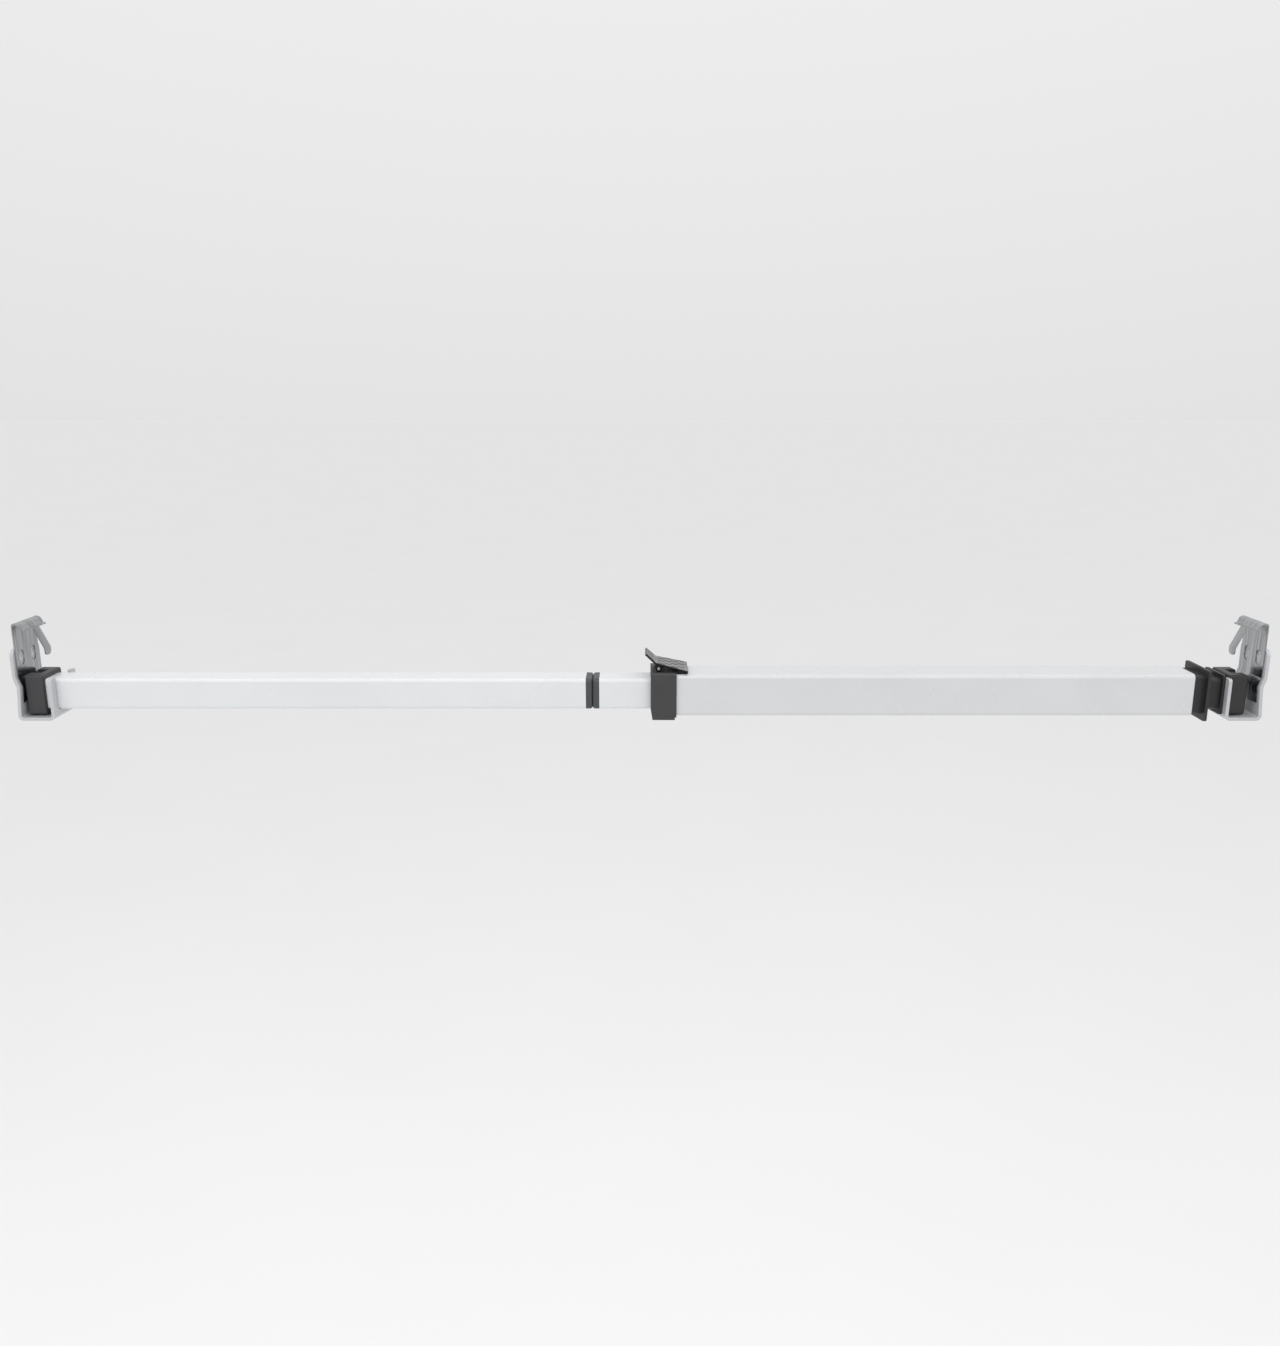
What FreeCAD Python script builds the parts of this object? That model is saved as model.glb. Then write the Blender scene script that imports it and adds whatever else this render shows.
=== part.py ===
"""Window security bar that telescopes between two jamb brackets.

Frame: X runs along the bar from the left jamb to the right one, Y points away from the
room towards the glass, Z is up. The origin is the middle of the left bracket's two wall
screw holes, on the face that lies against the jamb. All sizes are millimetres.
"""
import FreeCAD, Part

import math
import os
import re

import Sketcher
from FreeCAD import Placement, Rotation, Vector

doc = FreeCAD.newDocument("WindowSecurityBar")
sheet = doc.addObject("Spreadsheet::Sheet", "Sizes")

# Driving dimensions: alias, value, what it is.
SIZES = [
    ("gap_width", 870, "jamb face to jamb face"),
    ("bar_drop", 26, "bar axis below the wall screws"),
    # tubes
    ("inner_side", 22, "inner and extension tube, square"),
    ("inner_round", 2.4, "corner radius of the inner tube"),
    ("outer_side", 30, "outer tube, square"),
    ("outer_round", 3, "corner radius of the outer tube"),
    ("tube_wall", 1.2, "wall of every tube"),
    ("extension_len", 378.3, "extension tube"),
    ("inner_len", 340, "inner tube"),
    ("outer_len", 368.5, "outer tube"),
    ("fixed_gap", 0.1, "clearance of a moulding inside its tube"),
    ("slide_gap", 0.1, "running clearance on a sliding square"),
    # brackets
    ("strap_thick", 2.2, "bracket strap"),
    ("strap_width", 36, "bracket strap"),
    ("strap_top", 7, "top of the jamb leg above the screws"),
    ("leg_len", 20, "straight part of the jamb leg"),
    ("joggle_len", 6.5, "height of the joggle"),
    ("waist", 2.2, "how far the joggle steps in"),
    ("foot_in", 0.4, "lower corner's distance from the jamb"),
    ("fork_in", 24, "jamb to the near face of the fork"),
    ("prong_rise", 12.4, "prong tips above the bar axis"),
    ("prong_round", 2, "rounding of the prong tips"),
    ("leg_round", 5, "rounding of the leg's top corners"),
    ("bend_round", 1.6, "inside radius of the strap's bends"),
    ("fork_play", 0.3, "tube to fork, each side"),
    ("seat_play", 1, "end block to the bracket's bottom"),
    ("hole_radius", 2.75, "wall screw hole"),
    ("hole_spacing", 15.5, "wall screw holes, centre to centre"),
    # spring clips
    ("clip_thick", 0.8, "spring steel"),
    ("clip_width", 31, "clip plate"),
    ("clip_tail", 5, "clip plate's lower end below the bar axis"),
    ("slot_wide", 6, "slots over the wall screw holes"),
    ("slot_tall", 10.5, "slots over the wall screw holes"),
    ("hinge_rise", 22.3, "latch bend above the wall screws"),
    ("hood_edge", 26, "width of the hood's free edge"),
    ("tongue_wide", 8, "tongue"),
    ("hood_neck", 3.4, "hood's upright above the latch bend"),
    ("crest_out", 4.6, "hood's crest from the latch bend"),
    ("crest_rise", 1.6, "hood's crest above the latch bend"),
    ("dip_out", 6.4, "hood's foot from the latch bend"),
    ("dip_drop", 1.7, "hood's foot below the latch bend"),
    ("lip_out", 9.1, "hood's lip from the latch bend"),
    ("lip_drop", 2.1, "hood's lip below the latch bend"),
    ("tongue_root", 8.2, "tongue's start from the latch bend"),
    ("tongue_out", 14.9, "tongue's bend from the latch bend"),
    ("tongue_drop", 17, "tongue's bend below the latch bend"),
    ("tongue_tip", 22, "tongue's tip below the latch bend"),
    ("tongue_ease", 3, "rounding of the tongue's tip"),
    ("neck_bend", 1.7, "radius where the hood leaves its upright"),
    ("crest_bend", 2.2, "radius of the hood's crest"),
    ("lip_bend", 1.6, "radius of the hood's lip"),
    ("tongue_bend", 2.5, "radius of the tongue's bend"),
    # end blocks
    ("block_gap", 0.3, "left block from the waist of its clip plate"),
    ("block_len", 13.2, "end block along the bar"),
    ("block_deep", 27, "end block"),
    ("block_tall", 28.4, "end block"),
    ("block_round", 1.4, "end block's edges"),
    ("ramp_wide", 10, "pocket for the tongue"),
    ("ramp_top", 8.6, "depth of the pocket at the top"),
    ("ramp_foot", 3.6, "depth of the pocket at its foot"),
    ("ramp_drop", 17, "height of the pocket"),
    ("plug_len", 25, "moulding inside a tube"),
    ("block_fixing", 11.5, "left block's screw from the extension tube's end"),
    # right end cap
    ("plug_show", 7.7, "plug seen outside the outer tube"),
    ("neck_show", 15.1, "neck from the flange to the end block"),
    ("flange_proud", 3, "flange outside the outer tube, each side"),
    ("flange_thick", 2, "square flange"),
    ("collar_plate", 1.8, "plate on the room side of the fork"),
    ("cap_fixing", 13.5, "end cap's screw from the outer tube's end"),
    # joint between extension and inner tube
    ("ring_len", 4.65, "each ring"),
    ("ring_gap", 0.1, "between the rings"),
    ("ring_round", 1.8, "rounded mating edge"),
    ("sleeve_wall", 1.7, "wall of the rings' sleeves round the square core"),
    ("spigot_len", 56, "square core"),
    ("button_radius", 3.9, "snap button"),
    ("button_from_ring", 17.65, "button axis to the ring's mating face"),
    ("button_proud", 1.2, "button above the tube"),
    ("button_len", 9.7, "snap button"),
    ("core_floor", 1.5, "core left at the blind end of the button's bore"),
    ("button_edge", 0.9, "rounding of the button"),
    ("spigot_edge", 0.8, "rounding of the square core"),
    ("rivet_in", 5, "rivet from the extension tube's end"),
    ("core_fixing", 12, "core's screw from the inner tube's end"),
    ("coil_wire", 0.4, "radius of the button spring's wire"),
    ("coil_turns", 5, "button spring"),
    # glide on the hidden end of the inner tube
    ("glide_head", 6, "glide outside the inner tube"),
    ("glide_plug", 20, "glide inside the inner tube"),
    ("glide_fixing", 10, "glide's screw from the inner tube's end"),
    # collar, lever and brake
    ("collar_len", 18, "collar"),
    ("collar_lap", 7.5, "collar over the outer tube"),
    ("collar_cap", 1.2, "collar above the outer tube"),
    ("collar_foot", 2.6, "collar below the outer tube"),
    ("collar_side", 1.5, "collar outside the outer tube, front and rear"),
    ("collar_edge", 1.2, "rounding of the collar's long edges"),
    ("slant_rise", 8, "height of the slant under the collar's free end"),
    ("slant_in", 1.3, "how far that slant runs in"),
    ("step_rise", 1.8, "height of the step under the collar's tube end"),
    ("step_in", 1.1, "how far that step runs in"),
    ("collar_fixing", 8, "collar's screws above and below the bar axis"),
    ("liner_len", 25, "guide bush in the outer tube"),
    ("pin_in", 5.5, "lever pin from the collar's free end"),
    ("pin_rise", 2.4, "lever pin above the collar"),
    ("pin_radius", 1, "lever pin"),
    ("pin_half", 12.2, "half of the lever pin's length"),
    ("pin_gap", 0.05, "running clearance of the lever on its pin"),
    ("ear_radius", 2.1, "collar's ears"),
    ("ear_thick", 2, "collar's ears"),
    ("ear_inside", 7.6, "middle to an ear"),
    ("lever_thick", 1.3, "lever plate"),
    ("lever_slope", 13.5, "degrees, plate falls to the right"),
    ("tab_slope", 42.5, "degrees, thumb tab rises to the left"),
    ("tab_len", 9.2, "thumb tab"),
    ("plate_len", 23.2, "lever plate"),
    ("knee_in", 3.3, "bend of the lever from the collar's free end"),
    ("knee_rise", 6.6, "bend of the lever above the collar"),
    ("knee_bend", 2.4, "radius of the lever's bend"),
    ("tab_width", 21, "lever at the thumb tab's tip"),
    ("tail_width", 30, "lever at its tail"),
    ("cam_radius", 2.05, "cam"),
    ("cam_offset", 1.2, "cam centre from the pin"),
    ("cam_lean", 30, "degrees, cam centre below the level of the pin"),
    ("cam_half", 3, "half of the cam's width"),
    ("cheek_gap", 0.3, "ear to the lever's cheek"),
    ("cheek_thick", 1.5, "lever's cheeks on the pin"),
    ("skirt_thick", 1.4, "lever's tail skirts"),
    ("skirt_in", 1.6, "skirt's outer face from the plate's edge"),
    ("skirt_gap", 0.3, "skirt above the outer tube"),
    ("skirt_clear", 0.6, "skirt from the collar's tube end"),
    ("twist_wire", 0.25, "radius of the lever spring's wire"),
    ("twist_gap", 0.2, "lever spring's coil round its pin"),
    ("twist_turns", 4, "lever spring"),
    ("twist_pitch", 0.8, "lever spring"),
    ("twist_from", 3.5, "lever spring's start from the middle"),
    ("twist_leg", 1.3, "lever spring's legs"),
    ("shoe_len", 6.4, "brake shoe along the bar"),
    ("shoe_half", 6, "half of the brake shoe's depth"),
    ("pad_thick", 1.1, "rubber pad under the shoe"),
    ("pad_gap", 0.05, "pad above the inner tube"),
    ("shoe_shift", 0.2, "middle of the shoe from the pin"),
    ("shoe_top_gap", 0.4, "shoe below the collar's top"),
    # screws
    ("screw_radius", 1.45, "shank of every self-tapping screw"),
    ("head_radius", 2.8, "pan head"),
    ("head_tall", 1.6, "pan head"),
    ("screw_len", 9, "shank"),
    ("driver_slot", 0.7, "width of the slot in a head"),
    ("sunk_slot", 0.5, "depth of the slot in a countersunk head"),
]
for row, (alias, size, note) in enumerate(SIZES, start=1):
    sheet.set("A%d" % row, note)
    sheet.set("B%d" % row, str(size))
    sheet.setAlias("B%d" % row, alias)

# Places along the bar and heights that follow from the sizes.
DERIVED = [
    ("axis_z", "0 - bar_drop", "height of the bar axis"),
    ("inner_bore", "inner_side - 2 * tube_wall", "cavity of the inner tube"),
    ("outer_bore", "outer_side - 2 * tube_wall", "cavity of the outer tube"),
    ("inner_plug", "inner_bore - 2 * fixed_gap", "moulding inside an inner tube"),
    ("outer_plug", "outer_bore - 2 * fixed_gap", "moulding inside the outer tube"),
    ("left_block_in", "strap_thick + clip_thick + waist + block_gap", "left block from its jamb"),
    ("extension_x", "left_block_in + block_len", "extension tube starts"),
    ("ring_x", "extension_x + extension_len", "first ring starts"),
    ("mate_x", "ring_x + ring_len", "mating face of the first ring"),
    ("second_x", "mate_x + ring_gap", "second ring starts"),
    ("inner_x", "second_x + ring_len", "inner tube starts"),
    ("right_block_in", "fork_in - fork_play - block_len", "right block from its jamb"),
    ("right_block_x", "gap_width - right_block_in - block_len", "right block starts"),
    ("flange_x", "right_block_x - neck_show - flange_thick", "flange starts"),
    ("outer_end", "flange_x - plug_show", "outer tube ends"),
    ("outer_x", "outer_end - outer_len", "outer tube starts"),
    ("collar_x", "outer_x + collar_lap - collar_len", "collar's free end"),
    ("fork_x", "gap_width - fork_in - strap_thick", "right fork's room-side face"),
    ("flange_side", "outer_side + 2 * flange_proud", "square flange"),
    ("spigot_side", "inner_plug - 2 * sleeve_wall", "square core"),
    ("bore_floor", "spigot_side / 2 - core_floor", "blind end of the button's bore"),
    ("button_x", "mate_x - button_from_ring", "button axis"),
    ("spigot_x", "mate_x + ring_gap / 2 - spigot_len / 2", "square core starts"),
    ("glide_x", "inner_x + inner_len", "inner tube ends"),
    ("seat_z", "axis_z - block_tall / 2 - seat_play", "bracket's bottom, inside"),
    ("prong_z", "axis_z + prong_rise", "prong tips"),
    ("leg_z", "strap_top - leg_len", "joggle starts"),
    ("waist_z", "leg_z - joggle_len", "joggle ends"),
    ("collar_top", "outer_side / 2 + collar_cap", "collar above the bar axis"),
    ("collar_low", "outer_side / 2 + collar_foot", "collar below the bar axis"),
    ("collar_half", "outer_side / 2 + collar_side", "half of the collar's depth"),
    ("collar_z", "axis_z + collar_top", "top face of the collar"),
    ("pin_x", "collar_x + pin_in", "lever pin"),
    ("pin_z", "collar_z + pin_rise", "lever pin"),
    ("twist_coil", "pin_radius + twist_gap + twist_wire", "lever spring's coil"),
    ("hinge_x", "strap_thick + clip_thick / 2", "latch bend from the jamb"),
]
for row, (alias, rule, note) in enumerate(DERIVED, start=len(SIZES) + 1):
    sheet.set("A%d" % row, note)
    sheet.set("B%d" % row, "=" + rule)
    sheet.setAlias("B%d" % row, alias)
doc.recompute()

WORDS = {name for name, _, _ in SIZES + DERIVED}
sub_parts = []


# ---------------------------------------------------------------- helpers
def in_sheet(text):
    """Point every size named in a rule at the sheet."""
    return re.sub(r"[a-z_]+", lambda m: "Sizes." + m[0] if m[0] in WORDS else m[0], str(text))


def size(alias):
    return float(sheet.get(alias))


def worked_out(text):
    """Number that a rule gives now, for a first guess that its expression then holds."""
    return float(sheet.evalExpression(in_sheet(text)))


def bind(thing, **rules):
    for prop, rule in rules.items():
        thing.setExpression(prop.replace("_at_", "."), in_sheet(rule))
    return thing


def put(thing, x, y, z, turn=Rotation()):
    thing.Placement = Placement(Vector(), turn)
    for letter, rule in zip("xyz", (x, y, z)):
        thing.setExpression("Placement.Base." + letter, in_sheet(rule))
    return thing


def box(name, low, span):
    block = doc.addObject("Part::Box", name)
    bind(block, Length=span[0], Width=span[1], Height=span[2])
    return put(block, *low)


def bar(name, x, length, side, deep=None):
    """Box along X, centred on the bar axis."""
    deep = deep or side
    return box(name, (x, "0 - (%s) / 2" % deep, "axis_z - (%s) / 2" % side), (length, deep, side))


ALONG = {"x": Rotation(Vector(0, 1, 0), 90), "y": Rotation(Vector(1, 0, 0), -90), "z": Rotation()}


def rod(name, axis, start, radius, length):
    """Cylinder from start along +axis."""
    pin = doc.addObject("Part::Cylinder", name)
    bind(pin, Radius=radius, Height=length)
    return put(pin, *start, turn=ALONG[axis])


def joined(name, *pieces):
    sum_of = doc.addObject("Part::MultiFuse", name)
    sum_of.Shapes = list(pieces)
    return sum_of


def cut(name, base, *tools):
    tool = tools[0] if len(tools) == 1 else joined(name + "_tools", *tools)
    rest = doc.addObject("Part::Cut", name)
    rest.Base, rest.Tool = base, tool
    return rest


def rounded(name, base, wanted, radius):
    """Fillet of the edges that wanted(edge) picks."""
    doc.recompute()
    fillet = doc.addObject("Part::Fillet", name)
    fillet.Base = base
    picked = [i for i, edge in enumerate(base.Shape.Edges, start=1) if wanted(edge)]
    fillet.Edges = [(i, radius, radius) for i in picked]
    return fillet


def runs(edge, axis):
    """True for a straight edge along an axis."""
    if edge.Curve.TypeId != "Part::GeomLine":
        return False
    return abs(abs(edge.tangentAt(edge.FirstParameter).dot(axis)) - 1) < 1e-6


def lies_at(edge, axis, place):
    """True where the whole edge is at this place along an axis."""
    return all(abs(vertex.Point.dot(axis) - place) < 1e-4 for vertex in edge.Vertexes)


X, Y, Z = Vector(1, 0, 0), Vector(0, 1, 0), Vector(0, 0, 1)


def soft_bar(name, x, length, side, radius):
    """Square bar along X with rounded long edges."""
    return rounded(name, bar(name + "_square", x, length, side), lambda e: runs(e, X), radius)


def sub_part(label, thing):
    """The finished sub-part: its label names its file."""
    thing.Label = label
    sub_parts.append(thing)
    return thing


def new_sketch(body, plane, name):
    sketch = body.newObject("Sketcher::SketchObject", name)
    sketch.AttachmentSupport = [(f, "") for f in body.Origin.OriginFeatures if f.Role == plane]
    sketch.MapMode = "FlatFace"
    return sketch


def outline(sketch, corners):
    """Closed outline whose corners are pairs of rules."""
    count = len(corners)
    places = [Vector(worked_out(a), worked_out(b), 0) for a, b in corners]
    for i, place in enumerate(places):
        sketch.addGeometry(Part.LineSegment(place, places[(i + 1) % count]), False)
    for i, corner in enumerate(corners):
        sketch.addConstraint(Sketcher.Constraint("Coincident", i, 2, (i + 1) % count, 1))
    for i, corner in enumerate(corners):
        for kind, rule in zip(("DistanceX", "DistanceY"), corner):
            datum = Sketcher.Constraint(kind, -1, 1, i, 1, worked_out(rule))
            index = sketch.addConstraint(datum)
            sketch.setExpression("Constraints[%d]" % index, in_sheet(rule))


def slab(name, corners, width):
    """Body padded both ways from the XZ plane."""
    body = doc.addObject("PartDesign::Body", name)
    sketch = new_sketch(body, "XZ_Plane", name + "_sketch")
    outline(sketch, corners)
    pad = body.newObject("PartDesign::Pad", name + "_pad")
    pad.Profile = sketch
    pad.SideType = "Symmetric"
    bind(pad, Length=width)
    body.Tip = pad
    doc.recompute()
    return body


def round_body(body, name, wanted, rule):
    """PartDesign fillet of the edges that wanted(edge) picks."""
    doc.recompute()
    base = body.Tip
    picked = ["Edge%d" % i for i, edge in enumerate(base.Shape.Edges, start=1) if wanted(edge)]
    fillet = body.newObject("PartDesign::Fillet", name)
    fillet.Base = (base, picked)
    bind(fillet, Radius=rule)
    body.Tip = fillet
    doc.recompute()
    return body


def tube(name, x, length, side, wall, radius):
    """Square tube along X: two rounded squares in one sketch, padded."""
    body = doc.addObject("PartDesign::Body", name)
    sketch = new_sketch(body, "YZ_Plane", name + "_section")
    for shrink, corner in (("0", radius), (wall, "%s - %s" % (radius, wall))):
        rounded_square(sketch, "%s - 2 * (%s)" % (side, shrink), corner)
    pad = body.newObject("PartDesign::Pad", name + "_pad")
    pad.Profile = sketch
    bind(pad, Length=length)
    body.Tip = pad
    return put(body, x, "0", "axis_z")


def rounded_square(sketch, side, radius):
    """Square centred on the sketch's origin, with four equal corner arcs."""
    half, bend = worked_out(side) / 2, worked_out(radius)
    flat = half - bend
    start = sketch.GeometryCount
    lines, arcs = [], []
    for turn in range(4):
        spin = Rotation(Z, 90 * turn)
        side_line = [spin.multVec(Vector(a, -half, 0)) for a in (-flat, flat)]
        lines.append(sketch.addGeometry(Part.LineSegment(*side_line), False))
        centre = spin.multVec(Vector(flat, -flat, 0))
        circle = Part.Circle(centre, Z, bend)
        quarter = math.radians(90 * turn)
        arc = Part.ArcOfCircle(circle, quarter - math.pi / 2, quarter)
        arcs.append(sketch.addGeometry(arc, False))
    add = sketch.addConstraint
    for turn in range(4):
        add(Sketcher.Constraint("Tangent", lines[turn], 2, arcs[turn], 1))
        add(Sketcher.Constraint("Tangent", arcs[turn], 2, lines[(turn + 1) % 4], 1))
        level = "Horizontal" if turn % 2 == 0 else "Vertical"
        add(Sketcher.Constraint(level, lines[turn]))
    for turn in range(3):
        add(Sketcher.Constraint("Equal", arcs[turn], arcs[turn + 1]))
    add(Sketcher.Constraint("Symmetric", lines[0], 1, lines[2], 1, -1, 1))
    sized = [
        (Sketcher.Constraint("Radius", arcs[0], bend), radius),
        (Sketcher.Constraint("DistanceX", lines[3], 1, lines[1], 1, 2 * half), side),
        (Sketcher.Constraint("DistanceY", lines[0], 1, lines[2], 1, 2 * half), side),
    ]
    for datum, rule in sized:
        index = add(datum)
        sketch.setExpression("Constraints[%d]" % index, in_sheet(rule))


def rear_screw(name, x, face, z="axis_z", length="screw_len"):
    """Pan-head screw driven from the rear (+Y) into a face at that Y."""
    shank = rod(name + "_shank", "y", (x, "(%s) - (%s)" % (face, length), z), "screw_radius", length)
    head = rod(name + "_head", "y", (x, face, z), "head_radius", "head_tall")
    crown = rounded(name + "_crown", head, lambda e: lies_at(e, Y, worked_out(face) + size("head_tall")),
                    size("head_tall") * 0.55)
    slot = box(name + "_slot", ("%s - head_radius" % x, "%s + head_tall / 2" % face,
                                "%s - driver_slot / 2" % z),
               ("2 * head_radius", "head_tall", "driver_slot"))
    return cut(name, joined(name + "_whole", shank, crown), slot)


def pilot(name, x, face, z="axis_z", length="screw_len"):
    """Hole that the shank of rear_screw fills."""
    return rod(name, "y", (x, "(%s) - (%s)" % (face, length), z), "screw_radius", length)


def sunk_shape(name, x, face):
    """Countersunk screw driven from the rear, flush with the face: also the hole it fills."""
    shank = pilot(name + "_shank", x, face)
    head = doc.addObject("Part::Cone", name + "_head")
    bind(head, Radius1="screw_radius", Radius2="head_radius", Height="head_radius - screw_radius")
    put(head, x, "%s - head_radius + screw_radius" % face, "axis_z", turn=ALONG["y"])
    return joined(name, shank, head)


def sunk_screw(name, x, face):
    slot = box(name + "_slot", ("%s - head_radius" % x, "%s - sunk_slot" % face,
                                "axis_z - driver_slot / 2"),
               ("2 * head_radius", "2 * sunk_slot", "driver_slot"))
    return cut(name + "_slotted", sunk_shape(name, x, face), slot)


# ---------------------------------------------------------------- brackets
def mirrored(side, rule):
    """Distance from a jamb as a place along X."""
    return rule if side == "left" else "gap_width - (%s)" % rule


def hand(side, corners):
    return [(mirrored(side, x), z) for x, z in corners]


def bracket(side):
    """Strap bent into a hook, with a notch that straddles the tube."""
    lean = "(waist - foot_in) * strap_thick / (waist_z - seat_z + strap_thick)"
    corners = hand(side, [
        ("0", "strap_top"), ("0", "leg_z"), ("waist", "waist_z"),
        ("foot_in", "seat_z - strap_thick"),
        ("fork_in + strap_thick", "seat_z - strap_thick"),
        ("fork_in + strap_thick", "prong_z"), ("fork_in", "prong_z"), ("fork_in", "seat_z"),
        ("foot_in + strap_thick + " + lean, "seat_z"),
        ("waist + strap_thick", "waist_z"), ("strap_thick", "leg_z"), ("strap_thick", "strap_top"),
    ])
    body = slab(side + "_strap", corners, "strap_width")
    outside, inside = size("seat_z") - size("strap_thick"), size("seat_z")
    joggle = (size("leg_z"), size("waist_z"))
    for name, heights, rule in (
            ("outer_bend", (outside,), "bend_round + strap_thick"),
            ("inner_bend", (inside,), "bend_round"),
            ("joggle_bend", joggle, "2 * bend_round")):
        round_body(body, side + "_" + name,
                   lambda e: runs(e, Y) and any(lies_at(e, Z, h) for h in heights), rule)
    for name, place, rule in (("leg", "strap_top", "leg_round"), ("prong", "prong_z", "prong_round")):
        top = size(place)
        round_body(body, side + "_" + name + "_corner",
                   lambda e: runs(e, X) and lies_at(e, Z, top), rule)
    notch = box(side + "_notch",
                (mirrored(side, "fork_in + strap_thick / 2") + " - strap_thick",
                 "0 - inner_side / 2 - fork_play", "axis_z - inner_side / 2 - fork_play"),
                ("2 * strap_thick", "inner_side + 2 * fork_play", "inner_side + prong_rise"))
    notch_foot = size("axis_z") - size("inner_side") / 2 - size("fork_play")
    eased = rounded(side + "_notch_eased", notch,
                    lambda e: runs(e, X) and lies_at(e, Z, notch_foot), size("inner_round"))
    holes = [
        rod("%s_hole_%d" % (side, i), "x",
            (mirrored(side, "strap_thick / 2") + " - strap_thick", "%d * hole_spacing / 2" % sign, "0"),
            "hole_radius", "2 * strap_thick")
        for i, sign in enumerate((-1, 1))]
    sub_part(side + "_bracket", cut(side + "_hook", body, eased, *holes))


def strip(points, bends, thick, width):
    """Bent strip: a centre line in XZ with rounded bends, given its thickness and width."""
    edges = []
    start = points[0]
    for before, corner, after, bend in zip(points, points[1:], points[2:], bends):
        go, leave = (corner - before).normalize(), (after - corner).normalize()
        turn = go.getAngle(leave)
        reach = bend * math.tan(turn / 2)
        enter, exit_at = corner - go * reach, corner + leave * reach
        mid_way = (leave - go).normalize() * (bend / math.cos(turn / 2) - bend)
        edges.append(Part.LineSegment(start, enter).toShape())
        edges.append(Part.Arc(enter, corner + mid_way, exit_at).toShape())
        start = exit_at
    edges.append(Part.LineSegment(start, points[-1]).toShape())
    line = Part.Wire(edges)
    sides = [line.makeOffset2D(shift, join=0, fill=False, openResult=True)
             for shift in (thick / 2, -thick / 2)]
    ends = [Part.LineSegment(sides[0].OrderedVertexes[k].Point,
                             sides[1].OrderedVertexes[k].Point).toShape() for k in (0, -1)]
    ring = Part.Wire(Part.__sortEdges__(sides[0].Edges + sides[1].Edges + ends))
    face = Part.Face(ring)
    face.translate(Vector(0, -width / 2, 0))
    return face.extrude(Vector(0, width, 0))


def flipped(side, shape):
    """The right-hand copy of a left-hand piece."""
    if side == "left":
        return shape
    return shape.mirror(Vector(size("gap_width") / 2, 0, 0), X)


def feature(name, shape):
    thing = doc.addObject("Part::Feature", name)
    thing.Shape = shape
    return thing


def clip_plate(side):
    """Flat spring-steel plate that follows the strap's inner face, with two upright slots."""
    jamb = "strap_thick"
    lean = "(waist - foot_in) * ({0}) / (waist_z - seat_z + strap_thick)"
    tail = "axis_z - clip_tail"
    drop = lean.format("waist_z - (%s)" % tail)
    top = "hinge_rise - clip_thick / 2 - 0.05"
    corners = hand(side, [
        (jamb, top), (jamb, "leg_z"), (jamb + " + waist", "waist_z"),
        (jamb + " + waist - " + drop, tail), (jamb + " + clip_thick + waist - " + drop, tail),
        (jamb + " + clip_thick + waist", "waist_z"), (jamb + " + clip_thick", "leg_z"),
        (jamb + " + clip_thick", top)])
    body = slab(side + "_plate", corners, "clip_width")
    joggle = (size("leg_z"), size("waist_z"))
    round_body(body, side + "_plate_bend",
               lambda e: runs(e, Y) and any(lies_at(e, Z, h) for h in joggle), "2 * bend_round")
    slots = []
    for i, sign in enumerate((-1, 1)):
        slot = box("%s_slot_%d" % (side, i),
                   (mirrored(side, "hinge_x") + " - strap_thick",
                    "%d * hole_spacing / 2 - slot_wide / 2" % sign, "0 - slot_tall / 2"),
                   ("2 * strap_thick", "slot_wide", "slot_tall"))
        slots.append(rounded("%s_slot_%d_round" % (side, i), slot, lambda e: runs(e, X),
                             size("slot_wide") / 2 - 0.01))
    sub_part(side + "_clip_plate", cut(side + "_slotted", body, *slots))


def latch_spring(side):
    """Hood and tongue: the free half of the spring clip, which turns about its top bend."""
    thick, width = size("clip_thick"), size("clip_width")
    pivot = Vector(size("hinge_x"), 0, size("hinge_rise"))

    def spot(right, up):
        return pivot + Vector(right, 0, up)

    lip = spot(size("lip_out"), -size("lip_drop"))
    dip = spot(size("dip_out"), -size("dip_drop"))
    hood = strip([pivot, spot(0, size("hood_neck")), spot(size("crest_out"), size("crest_rise")), dip, lip],
                 (size("neck_bend"), size("crest_bend"), size("lip_bend")), thick, width)
    root = dip + (lip - dip) * ((size("tongue_root") - size("dip_out")) / (size("lip_out") - size("dip_out")))
    tongue = strip([root, spot(size("tongue_out"), -size("tongue_drop")),
                    spot(size("tongue_out"), -size("tongue_tip"))],
                   (size("tongue_bend"),), thick, size("tongue_wide"))
    knuckle = Part.makeCylinder(thick / 2, width, pivot - Vector(0, width / 2, 0), Y)
    taper = (width - size("hood_edge")) / 2
    whole = hood.fuse([tongue, knuckle])
    tapers_from, tapers_to, beyond = size("crest_out") - thick, size("lip_out"), 2 * size("lip_out")
    below = -2 * size("tongue_tip")
    for sign in (-1, 1):
        edge, narrow = sign * width / 2, sign * (width / 2 - taper)
        outside = edge + sign
        plan = [(tapers_from, edge), (tapers_to, narrow), (beyond, narrow), (beyond, outside),
                (tapers_from, outside)]
        corners = [spot(out, below) + Vector(0, across, 0) for out, across in plan]
        wedge = Part.Face(Part.makePolygon(corners + corners[:1]))
        whole = whole.cut(wedge.extrude(Vector(0, 0, -2 * below)))
    half = size("tongue_wide") / 2
    end = pivot.z - size("tongue_tip")
    tip = [e for e in whole.Edges if runs(e, X) and lies_at(e, Z, end)
           and abs(abs(e.Vertexes[0].Point.y) - half) < 1e-3]
    whole = whole.makeFillet(size("tongue_ease"), tip)
    sub_part(side + "_latch_spring", feature(side + "_latch", flipped(side, whole.removeSplitter())))


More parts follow.
